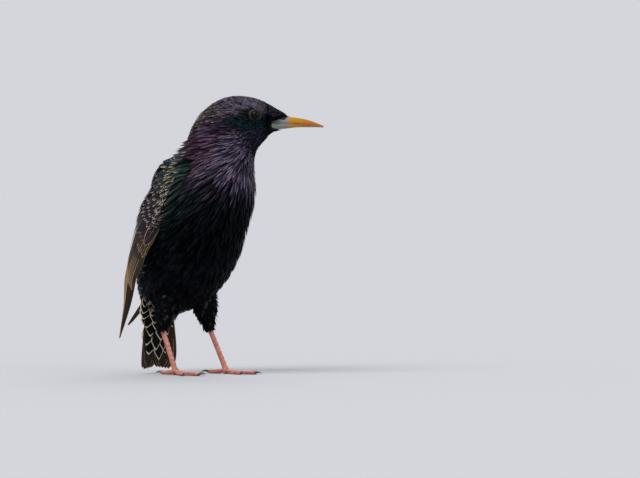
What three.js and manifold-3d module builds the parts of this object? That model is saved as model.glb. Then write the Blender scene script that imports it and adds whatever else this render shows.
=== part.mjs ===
// A life-size common starling in spring plumage, standing upright with its head turned to its left.
// Millimetres, +Z up. The trunk faces +X and the bird's left is +Y. The floor is z = 0.
import * as THREE from "three";
import { mergeVertices } from "three/addons/utils/BufferGeometryUtils.js";
import Module from "manifold-3d";

const wasm = await Module();
wasm.setup();

// Driving sizes of the whole bird
const HEAD_TURN = 42; // degrees that the head turns to the bird's left
const TRUNK_LEAN = 23; // degrees that the trunk leans forward of upright
const GAP = 0.32; // clearance between pieces that touch
const FLOOR = 0;
const HEAD_SIDE = 16; // how far the head's middle plane lies from the origin, across the line of sight
const EYE_RADIUS = 3.7;
const VANE_THICK = 0.62;

// Trunk, neck and head: soft masses that flow into one form. size is the forward, sideways and upward
// half-lengths. lean tips a mass forward and turn yaws it, in degrees. soft is how wide it blends into the
// masses before it.
const headPoint = (ahead, up) => headFrame(ahead, 0, up).toArray();
const MASSES = [
  { name: "trunk", at: [4.8, 0, 81.1], size: [29.9, 26.5, 43.7], lean: TRUNK_LEAN, turn: 0, soft: 0 },
  { name: "breast", at: [17.6, 0, 104.2], size: [25.1, 25.1, 29.9], lean: TRUNK_LEAN, turn: 0, soft: 8 },
  { name: "belly", at: [-7, 0, 60.7], size: [20.9, 21.3, 24.7], lean: 22, turn: 0, soft: 8 },
  { name: "vent", at: [-22, 0, 45.5], size: [11, 13, 15], lean: 4, turn: 0, soft: 10 },
  { name: "rump", at: [-19, 0, 68], size: [11, 16, 26], lean: 24, turn: 0, soft: 10 },
  { name: "mantle", at: [4.9, 0, 109.8], size: [19.4, 22.9, 17], lean: 25, turn: 0, soft: 8 },
  { name: "neck", at: [21.1, 2, 127.3], size: [20.2, 18.1, 18.9], lean: 18, turn: 10, soft: 8 },
  { name: "nape", at: headPoint(21.3, 139.7), size: [19.4, 15, 17.7], lean: 0, turn: HEAD_TURN, soft: 7 },
  { name: "skull", at: headPoint(28, 147.8), size: [15.9, 12.6, 13.4], lean: 6, turn: HEAD_TURN, soft: 5 },
  { name: "face", at: headPoint(39.6, 150), size: [11.4, 7.6, 8.2], lean: 14, turn: HEAD_TURN, soft: 6 },
  { name: "brow", at: headPoint(47, 151.2), size: [9.7, 3.4, 3.2], lean: 14, turn: HEAD_TURN, soft: 3 },
  { name: "chin", at: headPoint(34.2, 139.8), size: [12.1, 8.6, 7.6], lean: -14, turn: HEAD_TURN, soft: 6 },
  { name: "beard", at: headPoint(47.7, 142.3), size: [6.7, 2.8, 1.9], lean: -4, turn: HEAD_TURN, soft: 3 },
];

// The line that the body's rings are strung on, tail end to face. turn is the way that its left side points,
// in degrees.
const SPINE = [
  { at: [-18.5, 0, 43], turn: 0 },
  { at: [-14, 0, 53], turn: 0 },
  { at: [-6.5, 0, 67], turn: 0 },
  { at: [2, 0, 84], turn: 0 },
  { at: [11, 0, 104], turn: 0 },
  { at: [18, 1, 120], turn: 6 },
  { at: [23, 3, 132], turn: 20 },
  { at: headPoint(27, 141.5), turn: 38 },
  { at: headPoint(34, 145.8), turn: HEAD_TURN },
  { at: headPoint(41, 147), turn: HEAD_TURN },
  { at: headPoint(45.5, 147), turn: HEAD_TURN },
];
const RINGS = 33; // rings along the spine
const SIDES = 32; // corners of a ring
const CAP_RINGS = 3; // rings that round off each end
const NECK_FROM = 0.52; // share of the spine where the neck begins
const HEAD_FROM = 0.665; // share of the spine where the head begins

// The folded wing as a sheet: its back edge and its lower edge, shoulder to tip, for the right wing.
const WING_BACK = [[-3, -11, 122], [-20.8, -12, 100], [-31, -11, 74], [-39.5, -10, 47], [-45.5, -10, 21]];
const WING_LOWER = [
  [14, -25, 116], [3.5, -29, 91], [-5.5, -28.6, 78], [-12.5, -27.2, 65], [-22.4, -22.5, 53.5], [-29.6, -18, 42], [-45, -12, 19],
];
const WING_BULGE = [1, 3, 2, 0.8, 0]; // how far the sheet swells outwards at each of those five places
const LEFT_WING_TUCK = { ahead: -3, inward: 12, up: 7.5 }; // the left wing's tip lies closer over the tail

// Tail: twelve feathers that hang almost straight down.
const TAIL_ROOT = [-26.5, 0, 57];
const TAIL_TIP_Z = 1.6;
const TAIL_LEAN = 1; // degrees that the tail hangs behind upright
const TAIL_FEATHERS = 12;

// Legs: where the heel, the toes' root and the toes lie.
const LEGS = {
  right: { side: -1, knee: [-5, -9, 52], heel: [-8.5, -14.5, 27], toeRoot: [3, -15.5, 3.1], toesTurn: -6 },
  left: { side: 1, knee: [0, 9, 52], heel: [1.5, 14.5, 27], toeRoot: [13.5, 16, 3.1], toesTurn: 8 },
};
const SHANK_RADIUS = 1.45;
const TOES = [
  { name: "inner", turn: -24, length: 15, radius: 1.2, claw: 5.2 },
  { name: "middle", turn: 0, length: 20.5, radius: 1.3, claw: 6 },
  { name: "outer", turn: 22, length: 15.5, radius: 1.2, claw: 5.2 },
  { name: "hind", turn: 180, length: 11.5, radius: 1.35, claw: 7.4 },
];

// Bill: how far ahead of the body's axis each section lies, the heights of its ridge, mouth line and keel, and
// its half width.
const BILL = [
  { ahead: 44, ridge: 151.2, mouth: 146.2, keel: 142.0, half: 4.3 },
  { ahead: 50, ridge: 150.4, mouth: 145.8, keel: 142.4, half: 3.9 },
  { ahead: 56, ridge: 149.4, mouth: 145.3, keel: 142.7, half: 3.3 },
  { ahead: 62, ridge: 148.7, mouth: 144.8, keel: 142.9, half: 2.7 },
  { ahead: 67, ridge: 147.7, mouth: 144.4, keel: 143.0, half: 2.1 },
  { ahead: 72, ridge: 146.1, mouth: 143.9, keel: 143.0, half: 1.4 },
  { ahead: 75.6, ridge: 144.6, mouth: 143.5, keel: 142.9, half: 0.75 },
  { ahead: 77.6, ridge: 143.6, mouth: 143.1, keel: 142.8, half: 0.25 },
];
const EYE = { ahead: 38.3, up: 150, side: 8.0 };
const NOSTRIL = { ahead: 54.5, up: 147.7, long: 1.7, high: 0.55 };

// Colours of the pieces
const COLOURS = {
  plumage: { color: 0x14131a, roughness: 0.45, metalness: 0.1 },
  flight: { color: 0x3a3128, roughness: 0.55, metalness: 0 },
  bill: { color: 0xd9a514, roughness: 0.35, metalness: 0 },
  eye: { color: 0x0a0806, roughness: 0.08, metalness: 0 },
  skin: { color: 0xa8513c, roughness: 0.5, metalness: 0 },
  claw: { color: 0x3b2a22, roughness: 0.4, metalness: 0 },
};

// Small helpers
const radians = THREE.MathUtils.degToRad;
const vec = (a) => new THREE.Vector3(...a);

// A point given as ahead along the head's facing, sideways to its left, and up.
function headFrame(ahead, left, up) {
  const turn = THREE.MathUtils.degToRad(HEAD_TURN);
  const facing = new THREE.Vector3(Math.cos(turn), Math.sin(turn), 0);
  const toLeft = new THREE.Vector3(-Math.sin(turn), Math.cos(turn), 0);
  return facing.multiplyScalar(ahead).addScaledVector(toLeft, left - HEAD_SIDE).setZ(up);
}

// The place at a share t of a line of points, by a Catmull-Rom curve.
function along(points, t) {
  return new THREE.CatmullRomCurve3(points, false, "centripetal").getPoint(THREE.MathUtils.clamp(t, 0, 1));
}

// A number at share t of an evenly spaced list.
function blendList(list, t) {
  const x = THREE.MathUtils.clamp(t, 0, 1) * (list.length - 1);
  const i = Math.min(Math.floor(x), list.length - 2);
  return THREE.MathUtils.lerp(list[i], list[i + 1], x - i);
}

// The body as a distance field
const fieldMasses = MASSES.map((m) => ({
  centre: vec(m.at),
  size: vec(m.size),
  inverse: new THREE.Matrix4()
    .makeRotationZ(radians(m.turn))
    .multiply(new THREE.Matrix4().makeRotationY(radians(m.lean)))
    .invert(),
  soft: m.soft,
}));

// How far p lies outside the body, and less than 0 inside it.
function bodyField(p) {
  let whole = 1e3;
  for (const m of fieldMasses) {
    const q = p.clone().sub(m.centre).applyMatrix4(m.inverse);
    const a = Math.hypot(q.x / m.size.x, q.y / m.size.y, q.z / m.size.z);
    const b = Math.hypot(q.x / m.size.x ** 2, q.y / m.size.y ** 2, q.z / m.size.z ** 2);
    const d = (a * (a - 1)) / Math.max(b, 1e-9);
    if (m.soft > 0) {
      const h = Math.max(m.soft - Math.abs(whole - d), 0) / m.soft;
      whole = Math.min(whole, d) - (h * h * m.soft) / 4;
    } else {
      whole = Math.min(whole, d);
    }
  }
  return whole;
}

// The way out of the body at p.
function outward(p) {
  const e = 0.2;
  const slope = (x, y, z) =>
    bodyField(p.clone().add(new THREE.Vector3(x, y, z))) - bodyField(p.clone().sub(new THREE.Vector3(x, y, z)));
  return new THREE.Vector3(slope(e, 0, 0), slope(0, e, 0), slope(0, 0, e)).normalize();
}

// Where a ray from inside the body comes out, at a level outside its surface.
function surfaceAlong(from, way, level) {
  let t = 0;
  for (let i = 0; i < 60; i += 1) {
    const d = bodyField(from.clone().addScaledVector(way, t)) - level;
    if (Math.abs(d) < 1e-3) break;
    t += -d * 0.9;
  }
  return from.clone().addScaledVector(way, Math.max(t, 0.05));
}

// Moves a point out until it is at least so high above the body.
function liftOff(p, height) {
  const q = p.clone();
  for (let i = 0; i < 4; i += 1) {
    const short = height - bodyField(q);
    if (short <= 0) break;
    q.addScaledVector(outward(q), short);
  }
  return q;
}

// The spine's frame at share t: a point, the way along it, the left and the back.
const spinePoints = SPINE.map((s) => vec(s.at));
const spineTurns = SPINE.map((s) => s.turn);
const spineCurve = new THREE.CatmullRomCurve3(spinePoints, false, "centripetal");
function spineFrame(t) {
  const at = spineCurve.getPoint(t);
  const way = spineCurve.getTangent(t);
  const turn = radians(blendList(spineTurns, t));
  const left = new THREE.Vector3(-Math.sin(turn), Math.cos(turn), 0);
  left.addScaledVector(way, -left.dot(way)).normalize();
  return { at, way, left, back: way.clone().cross(left) };
}

// One ring of the body, or a rounding ring where tip is over 0 (1 is the pole itself).
function ring(frame, level, tip = 0, towards = 1) {
  const swing = (tip * Math.PI) / 2;
  return Array.from({ length: SIDES }, (_, i) => {
    const angle = (i / SIDES) * 2 * Math.PI;
    const out = frame.back.clone().multiplyScalar(Math.cos(angle)).addScaledVector(frame.left, Math.sin(angle));
    const way = out.multiplyScalar(Math.cos(swing)).addScaledVector(frame.way, towards * Math.sin(swing));
    return surfaceAlong(frame.at, way, level);
  });
}

// A closed skin over rings of equal length, with an end point at each end.
function loft(rings, first, last) {
  const n = rings[0].length;
  const corners = [first, ...rings.flat(), last];
  const faces = [];
  const at = (r, i) => 1 + r * n + (i % n);
  for (let i = 0; i < n; i += 1) {
    faces.push([0, at(0, i + 1), at(0, i)]);
    for (let r = 0; r < rings.length - 1; r += 1) {
      faces.push([at(r, i), at(r, i + 1), at(r + 1, i)], [at(r, i + 1), at(r + 1, i + 1), at(r + 1, i)]);
    }
    faces.push([at(rings.length - 1, i), at(rings.length - 1, i + 1), corners.length - 1]);
  }
  return solid(corners, faces);
}

// Corners and faces as a solid that can be joined and cut. Faces that point inwards are turned round.
function solid(corners, faces) {
  const make = (list) =>
    new wasm.Manifold(
      new wasm.Mesh({
        numProp: 3,
        vertProperties: new Float32Array(corners.flatMap((c) => [c.x, c.y, c.z])),
        triVerts: new Uint32Array(list.flat()),
      }),
    );
  const made = make(faces);
  return made.volume() > 0 ? made : make(faces.map(([a, b, c]) => [a, c, b]));
}

// A three.js geometry as a solid.
function solidOf(geometry) {
  const bare = geometry.clone();
  bare.deleteAttribute("normal");
  bare.deleteAttribute("uv");
  const merged = mergeVertices(bare, 1e-4);
  return new wasm.Manifold(
    new wasm.Mesh({
      numProp: 3,
      vertProperties: merged.attributes.position.array,
      triVerts: new Uint32Array(merged.index.array),
    }),
  );
}

const middle = (points) =>
  points.reduce((sum, p) => sum.add(p), new THREE.Vector3()).multiplyScalar(1 / points.length);

// The stretch of the body from one share of the spine to another, its ends cut flat unless they are ends of
// the body.
function bodyPiece(from, to, level) {
  const steps = Math.max(3, Math.round(RINGS * (to - from)));
  const rings = [];
  let first;
  let last;
  const open = spineFrame(from);
  if (from === 0) {
    first = surfaceAlong(open.at, open.way.clone().negate(), level);
    for (let i = CAP_RINGS; i > 0; i -= 1) rings.push(ring(open, level, i / (CAP_RINGS + 1), -1));
  } else {
    open.at.addScaledVector(open.way, GAP);
    first = open.at.clone();
  }
  rings.push(ring(open, level));
  for (let i = 1; i <= steps; i += 1) rings.push(ring(spineFrame(from + ((to - from) * i) / steps), level));
  const close = spineFrame(to);
  if (to === 1) {
    for (let i = 1; i <= CAP_RINGS; i += 1) rings.push(ring(close, level, i / (CAP_RINGS + 1), 1));
    last = surfaceAlong(close.at, close.way, level);
  } else {
    last = close.at.clone();
  }
  return loft(rings, first, last);
}

const torsoSolid = bodyPiece(0, NECK_FROM, 0);
const neckSolid = bodyPiece(NECK_FROM, HEAD_FROM, 0);
const bareHead = bodyPiece(HEAD_FROM, 1, 0);
const bodyWithGap = bodyPiece(0, 1, GAP);

// A round bar along points, with a radius at each, closed by points at its ends.
function bar(points, radii, sides, squash = 1) {
  const rings = points.map((p, i) => {
    const way = points[Math.min(i + 1, points.length - 1)].clone().sub(points[Math.max(i - 1, 0)]).normalize();
    const side = new THREE.Vector3(0, 0, 1).cross(way);
    if (side.length() < 0.2) side.set(0, 1, 0).cross(way);
    side.normalize();
    const other = way.clone().cross(side);
    return Array.from({ length: sides }, (_, k) => {
      const angle = ((k + 0.5) / sides) * 2 * Math.PI;
      return p
        .clone()
        .addScaledVector(side, Math.cos(angle) * radii[i])
        .addScaledVector(other, Math.sin(angle) * radii[i] * squash);
    });
  });
  return loft(rings, middle(rings[0]), middle(rings.at(-1)));
}

const box = (x, y, z, at) => solidOf(new THREE.BoxGeometry(x, y, z).translate(...at));
const aboveFloor = box(400, 400, 400, [0, 0, FLOOR + 200]);

// A block with one face at a point, reaching 20 mm onwards along a way.
function beyond(at, way, wide) {
  const block = new THREE.BoxGeometry(wide, wide, 20).translate(0, 0, 10);
  block.applyQuaternion(new THREE.Quaternion().setFromUnitVectors(new THREE.Vector3(0, 0, 1), way));
  return solidOf(block.translate(...at.toArray()));
}

// The largest closed body of a solid.
function largest(made) {
  return made.decompose().reduce((best, s) => (s.volume() > best.volume() ? s : best));
}

// A feather's vane: a thin plate along a line of places, with a width at each, its edges dropped from the shaft.
// place(t) gives { at, across, up } at share t of its length.
function vane(place, { width, ridged = true, stations = 5, thick = VANE_THICK, droop = 0.08, blunt = 0.55 }) {
  const corners = [];
  const faces = [];
  const ring = ridged ? [[-1, 1], [0, 1], [1, 1], [1, -1], [0, -1], [-1, -1]] : [[-1, 1], [1, 1], [1, -1], [-1, -1]];
  for (let i = 0; i < stations; i += 1) {
    const t = i / (stations - 1);
    const { at, across, up } = place(t);
    const swell = Math.min(1, 0.55 + 1.6 * t);
    const round = t < blunt ? 1 : Math.sqrt(Math.max(0, 1 - ((t - blunt) / (1 - blunt)) ** 2.4));
    const half = (width / 2) * Math.max(0.1, swell * round);
    const deep = (thick / 2) * (t > 0.9 ? 0.6 : 1);
    for (const [x, z] of ring) {
      corners.push(
        at
          .clone()
          .addScaledVector(across, x * half)
          .addScaledVector(up, z * deep - Math.abs(x) * droop * half),
      );
    }
  }
  // Both faces are split along the same diagonals, so that a thin curved vane doesn't cross itself.
  const n = ring.length;
  const half = n / 2;
  const end = (stations - 1) * n;
  for (let a = 0; a < end; a += n) {
    const b = a + n;
    for (let k = 0; k < half - 1; k += 1) {
      const under = n - 1 - k;
      faces.push([a + k, a + k + 1, b + k], [a + k + 1, b + k + 1, b + k]);
      faces.push([a + under, b + under, a + under - 1], [b + under, b + under - 1, a + under - 1]);
    }
    faces.push([a, b, a + n - 1], [b, b + n - 1, a + n - 1]);
    faces.push([a + half - 1, a + half, b + half - 1], [b + half - 1, a + half, b + half]);
  }
  for (let k = 0; k < half - 1; k += 1) {
    const under = n - 1 - k;
    faces.push([k, under, k + 1], [k + 1, under, under - 1]);
    faces.push([end + k, end + k + 1, end + under], [end + k + 1, end + under - 1, end + under]);
  }
  return solid(corners, faces);
}

// A place on the folded wing's sheet: share down its length, share from its back edge to its lower edge, and
// height over it.
function wingSheet(side, down, over, height) {
  const tuck = side > 0 ? LEFT_WING_TUCK : { ahead: 0, inward: 0, up: 0 };
  const late = Math.max(0, down - 0.35) / 0.65;
  const edge = (list) => {
    const p = along(list.map(vec), down);
    p.x += tuck.ahead * late;
    p.y += tuck.inward * late;
    p.z += tuck.up * late;
    return p.setY(-side * p.y);
  };
  const back = edge(WING_BACK);
  const lower = edge(WING_LOWER);
  const bulge = blendList(WING_BULGE, down) * 4 * over * (1 - over);
  const outside = new THREE.Vector3(-0.35 - 0.25 * (1 - over), side * (0.5 + 0.5 * over), 0.1).normalize();
  const flat = back.lerp(lower, over).addScaledVector(outside, bulge + height);
  return liftOff(flat, height);
}

// Where a wing feather lies between its root and its tip, each given as a share down and over, and a height.
function wingPlace(side, root, tip) {
  const spot = (t, aside = 0) => {
    const mix = (a, b) => THREE.MathUtils.lerp(a, b, t);
    return wingSheet(side, mix(root.down, tip.down), mix(root.over, tip.over) + aside, mix(root.high, tip.high));
  };
  return (t) => {
    const at = spot(t);
    const way = spot(Math.min(t + 0.06, 1)).sub(spot(Math.max(t - 0.06, 0))).normalize();
    const across = spot(t, 0.04).sub(spot(t, -0.04));
    across.addScaledVector(way, -across.dot(way)).normalize();
    const up = way.clone().cross(across).multiplyScalar(side > 0 ? -1 : 1).normalize();
    return { at, across, up };
  };
}

// The wing's rows of feathers, deepest first. Each runs from its first feather to its last by even steps.
const WING_ROWS = [
  {
    name: "primaries",
    count: 9,
    width: 9.5,
    ridged: true,
    root: [0.2, 0.9, 0.5],
    rootEnd: [0.3, 0.62, 1],
    tip: [0.995, 0.6, 0.7],
    tipEnd: [0.7, 0.5, 2.2],
  },
  {
    name: "secondaries",
    count: 6,
    width: 10,
    ridged: true,
    root: [0.22, 0.8, 0.8],
    rootEnd: [0.2, 0.42, 1],
    tip: [0.66, 0.8, 1.7],
    tipEnd: [0.6, 0.42, 2.7],
  },
  {
    name: "tertials",
    count: 3,
    width: 11.5,
    ridged: true,
    root: [0.16, 0.36, 1],
    rootEnd: [0.12, 0.2, 1],
    tip: [0.62, 0.34, 2.9],
    tipEnd: [0.45, 0.14, 3.3],
  },
  {
    name: "primary coverts",
    count: 4,
    width: 7,
    ridged: false,
    root: [0.12, 0.94, 0.5],
    rootEnd: [0.15, 0.85, 0.8],
    tip: [0.42, 0.95, 1.4],
    tipEnd: [0.4, 0.8, 2.2],
  },
  {
    name: "greater coverts",
    count: 7,
    width: 9,
    ridged: false,
    root: [0.12, 0.86, 0.7],
    rootEnd: [0.1, 0.2, 0.7],
    tip: [0.37, 0.88, 2.3],
    tipEnd: [0.34, 0.16, 3.3],
  },
  {
    name: "median coverts",
    count: 6,
    width: 9.5,
    ridged: false,
    root: [0.03, 0.84, -0.4],
    rootEnd: [0.02, 0.2, -0.4],
    tip: [0.23, 0.9, 2.6],
    tipEnd: [0.21, 0.14, 3.5],
  },
];

// The fleshy fold of the wing that its feathers root in.
function wingArm(side) {
  const downs = 7;
  const overs = 5;
  const grid = (height) =>
    Array.from({ length: downs }, (_, i) =>
      Array.from({ length: overs }, (_, k) => {
        const over = 0.04 + (0.93 * k) / (overs - 1);
        const down = (0.44 * i) / (downs - 1);
        const rim = i === 0 || k === 0 || k === overs - 1;
        if (height > 0) return wingSheet(side, down, over, i === downs - 1 ? 0.7 : rim ? -0.5 : height);
        const p = wingSheet(side, down, over, 0.05);
        return p.addScaledVector(outward(p), -1.6);
      }),
    ).flat();
  const corners = [...grid(2.1), ...grid(0)];
  const lower = downs * overs;
  const at = (i, k) => i * overs + k;
  const faces = [];
  for (let i = 0; i < downs - 1; i += 1)
    for (let k = 0; k < overs - 1; k += 1) {
      const [a, b, c, d] = [at(i, k), at(i, k + 1), at(i + 1, k + 1), at(i + 1, k)];
      faces.push([a, b, c], [a, c, d], [a + lower, c + lower, b + lower], [a + lower, d + lower, c + lower]);
    }
  const rim = [
    ...Array.from({ length: overs - 1 }, (_, k) => at(0, k)),
    ...Array.from({ length: downs - 1 }, (_, i) => at(i, overs - 1)),
    ...Array.from({ length: overs - 1 }, (_, k) => at(downs - 1, overs - 1 - k)),
    ...Array.from({ length: downs - 1 }, (_, i) => at(downs - 1 - i, 0)),
  ];
  rim.forEach((a, i) => {
    const b = rim[(i + 1) % rim.length];
    faces.push([a, a + lower, b], [b, a + lower, b + lower]);
  });
  return solid(corners, faces);
}

function wing(side) {
  const pieces = [wingArm(side)];
  for (const row of WING_ROWS)
    for (let i = 0; i < row.count; i += 1) {
      const t = i / (row.count - 1);
      const mix = (a, b) => THREE.MathUtils.lerp(a, b, t);
      const end = (a, b) => ({ down: mix(a[0], b[0]), over: mix(a[1], b[1]), high: mix(a[2], b[2]) });
      const place = wingPlace(side, end(row.root, row.rootEnd), end(row.tip, row.tipEnd));
      pieces.push(vane(place, { width: row.width, ridged: row.ridged, stations: row.ridged ? 6 : 5 }));
    }
  return largest(wasm.Manifold.union(pieces).subtract(bodyWithGap));
}

// The tail's own frame: down its length, sideways, and out of its back.
const tailDown = new THREE.Vector3(-Math.sin(radians(TAIL_LEAN)), 0, -Math.cos(radians(TAIL_LEAN)));
const tailBack = new THREE.Vector3(-Math.cos(radians(TAIL_LEAN)), 0, Math.sin(radians(TAIL_LEAN)));
const TAIL_LENGTH = (TAIL_ROOT[2] - TAIL_TIP_Z) / Math.cos(radians(TAIL_LEAN));
const tailSpot = (down, aside, out) =>
  vec(TAIL_ROOT).addScaledVector(tailDown, down).addScaledVector(tailBack, out).add(new THREE.Vector3(0, aside, 0));

// A feather of the tail or of its coverts, from a root to a tip given as down, aside and out.
function tailFeather(root, tip, width, belly = 0) {
  const place = (t) => {
    const mix = (k) => THREE.MathUtils.lerp(root[k], tip[k], t);
    const at = tailSpot(mix(0), mix(1), mix(2) - belly * 4 * t * (1 - t));
    const lean = Math.atan2(tip[1] - root[1], tip[0] - root[0]);
    const across = new THREE.Vector3(0, Math.cos(lean), 0).addScaledVector(tailDown, -Math.sin(lean)).normalize();
    return { at, across, up: tailBack.clone().multiplyScalar(belly > 0 ? -1 : 1) };
  };
  return vane(place, { width, blunt: 0.72, ridged: belly === 0, stations: 4 });
}

// Rows of small feathers under and over the tail's root: how many, how far down they start and end, how far out.
const TAIL_COVERTS = [
  { count: 6, from: 20, to: 46, spread: 11.5, out: -3.2, rise: 0.9, width: 8, belly: 2.2 },
  { count: 6, from: 12, to: 38, spread: 13.5, out: -4.6, rise: 1.2, width: 8.5, belly: 2.8 },
  { count: 5, from: 8, to: 30, spread: 13, out: -6.4, rise: 1.4, width: 9, belly: 2.8 },
  { count: 5, from: 2, to: 28, spread: 11, out: 2.9, rise: -0.45, width: 9, belly: 0 },
];

function tail() {
  const pieces = [];
  const half = TAIL_FEATHERS / 2;
  for (const side of [-1, 1])
    for (let i = 0; i < half; i += 1) {
      const share = (i + 0.5) / half;
      const length = TAIL_LENGTH - 1.5 * (1 - share) - (i === half - 1 ? 1.2 : 0);
      const layer = 1.4 - 0.42 * i - (side > 0 ? 0.2 : 0);
      const rootAt = [0, side * (0.6 + 3 * share), layer];
      const tipAt = [length, side * (1 + 10.4 * share), layer];
      pieces.push(tailFeather(rootAt, tipAt, 9.5));
    }
  for (const row of TAIL_COVERTS)
    for (let i = 0; i < row.count; i += 1) {
      const share = (i / (row.count - 1)) * 2 - 1;
      const shorter = 4 * share * share;
      const lift = row.out + row.rise * Math.abs(share) * 2 + 0.12 * i;
      const out = Math.sign(row.out) * (Math.abs(lift) - 1.2);
      const rootAt = [row.from, share * row.spread * 0.6, lift];
      const tipAt = [row.to - shorter, share * row.spread, out];
      pieces.push(tailFeather(rootAt, tipAt, row.width, row.belly));
    }
  // The fleshy root that all of them grow from
  const root = bar(
    [tailSpot(-8, 0, 0), tailSpot(4, 0, 0), tailSpot(14, 0, -0.6), tailSpot(22, 0, -0.8), tailSpot(27, 0, -0.8)],
    [7, 8.2, 7.2, 5.6, 3],
    12,
    1,
  );
  pieces.push(root.intersect(tailSlab()));
  return largest(wasm.Manifold.union(pieces).subtract(bodyWithGap));
}

// Keeps the tail's root flat: as thick as the stack of feathers over it.
function tailSlab() {
  const centre = tailSpot(10, 0, -1);
  return solidOf(new THREE.BoxGeometry(8, 30, 60).rotateY(radians(-TAIL_LEAN)).translate(...centre.toArray()));
}

// The bill's two halves, each a loft of pointed arches.
function billHalf(upper) {
  const sections = BILL.map((b) => {
    const edge = b.mouth + (upper ? GAP / 2 : -GAP / 2);
    const crest = upper ? b.ridge : b.keel;
    const points = [];
    const sides = 5;
    for (let k = 0; k <= sides; k += 1) {
      const angle = (k / sides) * Math.PI;
      const rise = Math.max(Math.abs(crest - edge), 0.12) * Math.sin(angle) ** 0.8;
      const left = Math.cos(angle) * b.half * (upper ? 1 : 0.9);
      points.push(headFrame(b.ahead, left, edge + (upper ? rise : -rise)));
    }
    return points;
  });
  return loft(sections, middle(sections[0]), middle(sections.at(-1)));
}

const eyeCentre = (side) => headFrame(EYE.ahead, side * EYE.side, EYE.up);
const ball = (radius, at, rings = 8, scale = [1, 1, 1]) =>
  solidOf(new THREE.SphereGeometry(radius, rings * 2, rings).scale(...scale).translate(...at));

// Lids stand round each eye as a low ring.
function lid(side) {
  const turn = radians(HEAD_TURN + side * 90);
  const torus = new THREE.TorusGeometry(3.5, 0.75, 5, 18)
    .rotateY(Math.PI / 2)
    .rotateZ(turn)
    .translate(...headFrame(EYE.ahead, side * (EYE.side + 1.35), EYE.up).toArray());
  return solidOf(torus);
}

function head() {
  const lids = [lid(-1), lid(1)];
  const sockets = [-1, 1].map((side) => ball(EYE_RADIUS + GAP, eyeCentre(side).toArray()));
  return largest(wasm.Manifold.union([bareHead, ...lids]).subtract(wasm.Manifold.union(sockets)));
}

function billUpper() {
  const nostrils = [-1, 1].map((side) =>
    solidOf(
      new THREE.SphereGeometry(1, 10, 6)
        .scale(NOSTRIL.long, 1.1, NOSTRIL.high)
        .rotateZ(radians(HEAD_TURN))
        .translate(...headFrame(NOSTRIL.ahead, side * 3.4, NOSTRIL.up).toArray()),
    ),
  );
  return largest(billHalf(true).subtract(wasm.Manifold.union([bodyWithGap, ...nostrils])));
}

const billLower = () => largest(billHalf(false).subtract(bodyWithGap));

// A leg: feathered thigh, bare shank with its row of scutes, toes with flat pads, and claws.
function thigh(leg) {
  const [knee, heel] = [vec(leg.knee), vec(leg.heel)];
  const stops = [0, 0.3, 0.6, 0.85, 1];
  const radii = [4, 6.6, 5.6, 3.7, 2.7];
  const points = stops.map((t) => knee.clone().lerp(heel, t));
  const way = vec(leg.toeRoot).sub(heel).normalize();
  points.push(heel.clone().addScaledVector(way, 2));
  radii.push(2.3);
  return largest(bar(points, radii, 14).subtract(bodyWithGap.add(beyond(heel, way, 14))));
}

function shank(leg) {
  const [heel, toeRoot] = [vec(leg.heel), vec(leg.toeRoot)];
  const way = toeRoot.clone().sub(heel).normalize();
  const from = heel.clone().addScaledVector(way, GAP);
  const to = toeRoot.clone().addScaledVector(way, -1.6);
  const scutes = 6;
  const points = [];
  const radii = [];
  for (let i = 0; i <= scutes * 2; i += 1) {
    const t = i / (scutes * 2);
    points.push(from.clone().lerp(to, t));
    radii.push(SHANK_RADIUS * (1 + 0.45 * Math.exp(-((t / 0.1) ** 2)) + (i % 2 ? 0.07 : 0) + 0.12 * t ** 4));
  }
  return bar(points, radii, 8);
}

// The line of a toe from the root outwards, its pads on the floor.
function toeLine(leg, toe, reach) {
  const root = vec(leg.toeRoot);
  const mirror = leg.side > 0 ? -1 : 1;
  const turn = radians(leg.toesTurn + mirror * toe.turn);
  const way = new THREE.Vector3(Math.cos(turn), Math.sin(turn), 0);
  const low = toe.radius * 0.7;
  return (t) => {
    const d = t * reach;
    const high = low + (root.z - 0.5 - low) * Math.exp(-d / 3.2);
    return new THREE.Vector3(root.x, root.y, high).addScaledVector(way, d);
  };
}

function toeBar(leg, toe) {
  const line = toeLine(leg, toe, toe.length);
  const count = 9;
  const points = [];
  const radii = [];
  for (let i = 0; i < count; i += 1) {
    const t = i / (count - 1);
    const pad = 1 + 0.13 * Math.cos(t * Math.PI * 2 * (toe.length / 5.4));
    points.push(line(t));
    radii.push(toe.radius * pad * (1 - 0.22 * t));
  }
  return bar(points, radii, 7);
}

function foot(leg) {
  const toes = TOES.map((toe) => toeBar(leg, toe));
  const root = vec(leg.toeRoot);
  const palm = ball(2.5, [root.x, root.y, root.z - 1], 6);
  const way = vec(leg.heel).sub(root).normalize();
  const top = root.clone().addScaledVector(way, 1.6 - GAP);
  return largest(wasm.Manifold.union([palm, ...toes]).subtract(beyond(top, way, 5.4)).intersect(aboveFloor));
}

function claw(leg, toe) {
  const line = toeLine(leg, toe, toe.length);
  const end = line(1);
  const way = end.clone().sub(line(0.9)).setZ(0).normalize();
  const count = 6;
  const points = [];
  const radii = [];
  const base = toe.radius * 0.62;
  for (let i = 0; i < count; i += 1) {
    const t = i / (count - 1);
    const rise = 0.9 * Math.sin(t * Math.PI * 0.8) - t * t * (end.z + 0.2);
    points.push(
      end
        .clone()
        .addScaledVector(way, GAP + t * toe.claw * 0.92)
        .add(new THREE.Vector3(0, 0, rise)),
    );
    radii.push(Math.max(base * (1 - t ** 1.3), 0.16));
  }
  const lowest = Math.min(...points.map((p, i) => p.z - radii[i]));
  points.forEach((p, i) => {
    p.z += Math.max(0, FLOOR + 0.12 - lowest) * (i / (count - 1));
  });
  return bar(points, radii, 6);
}

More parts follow.
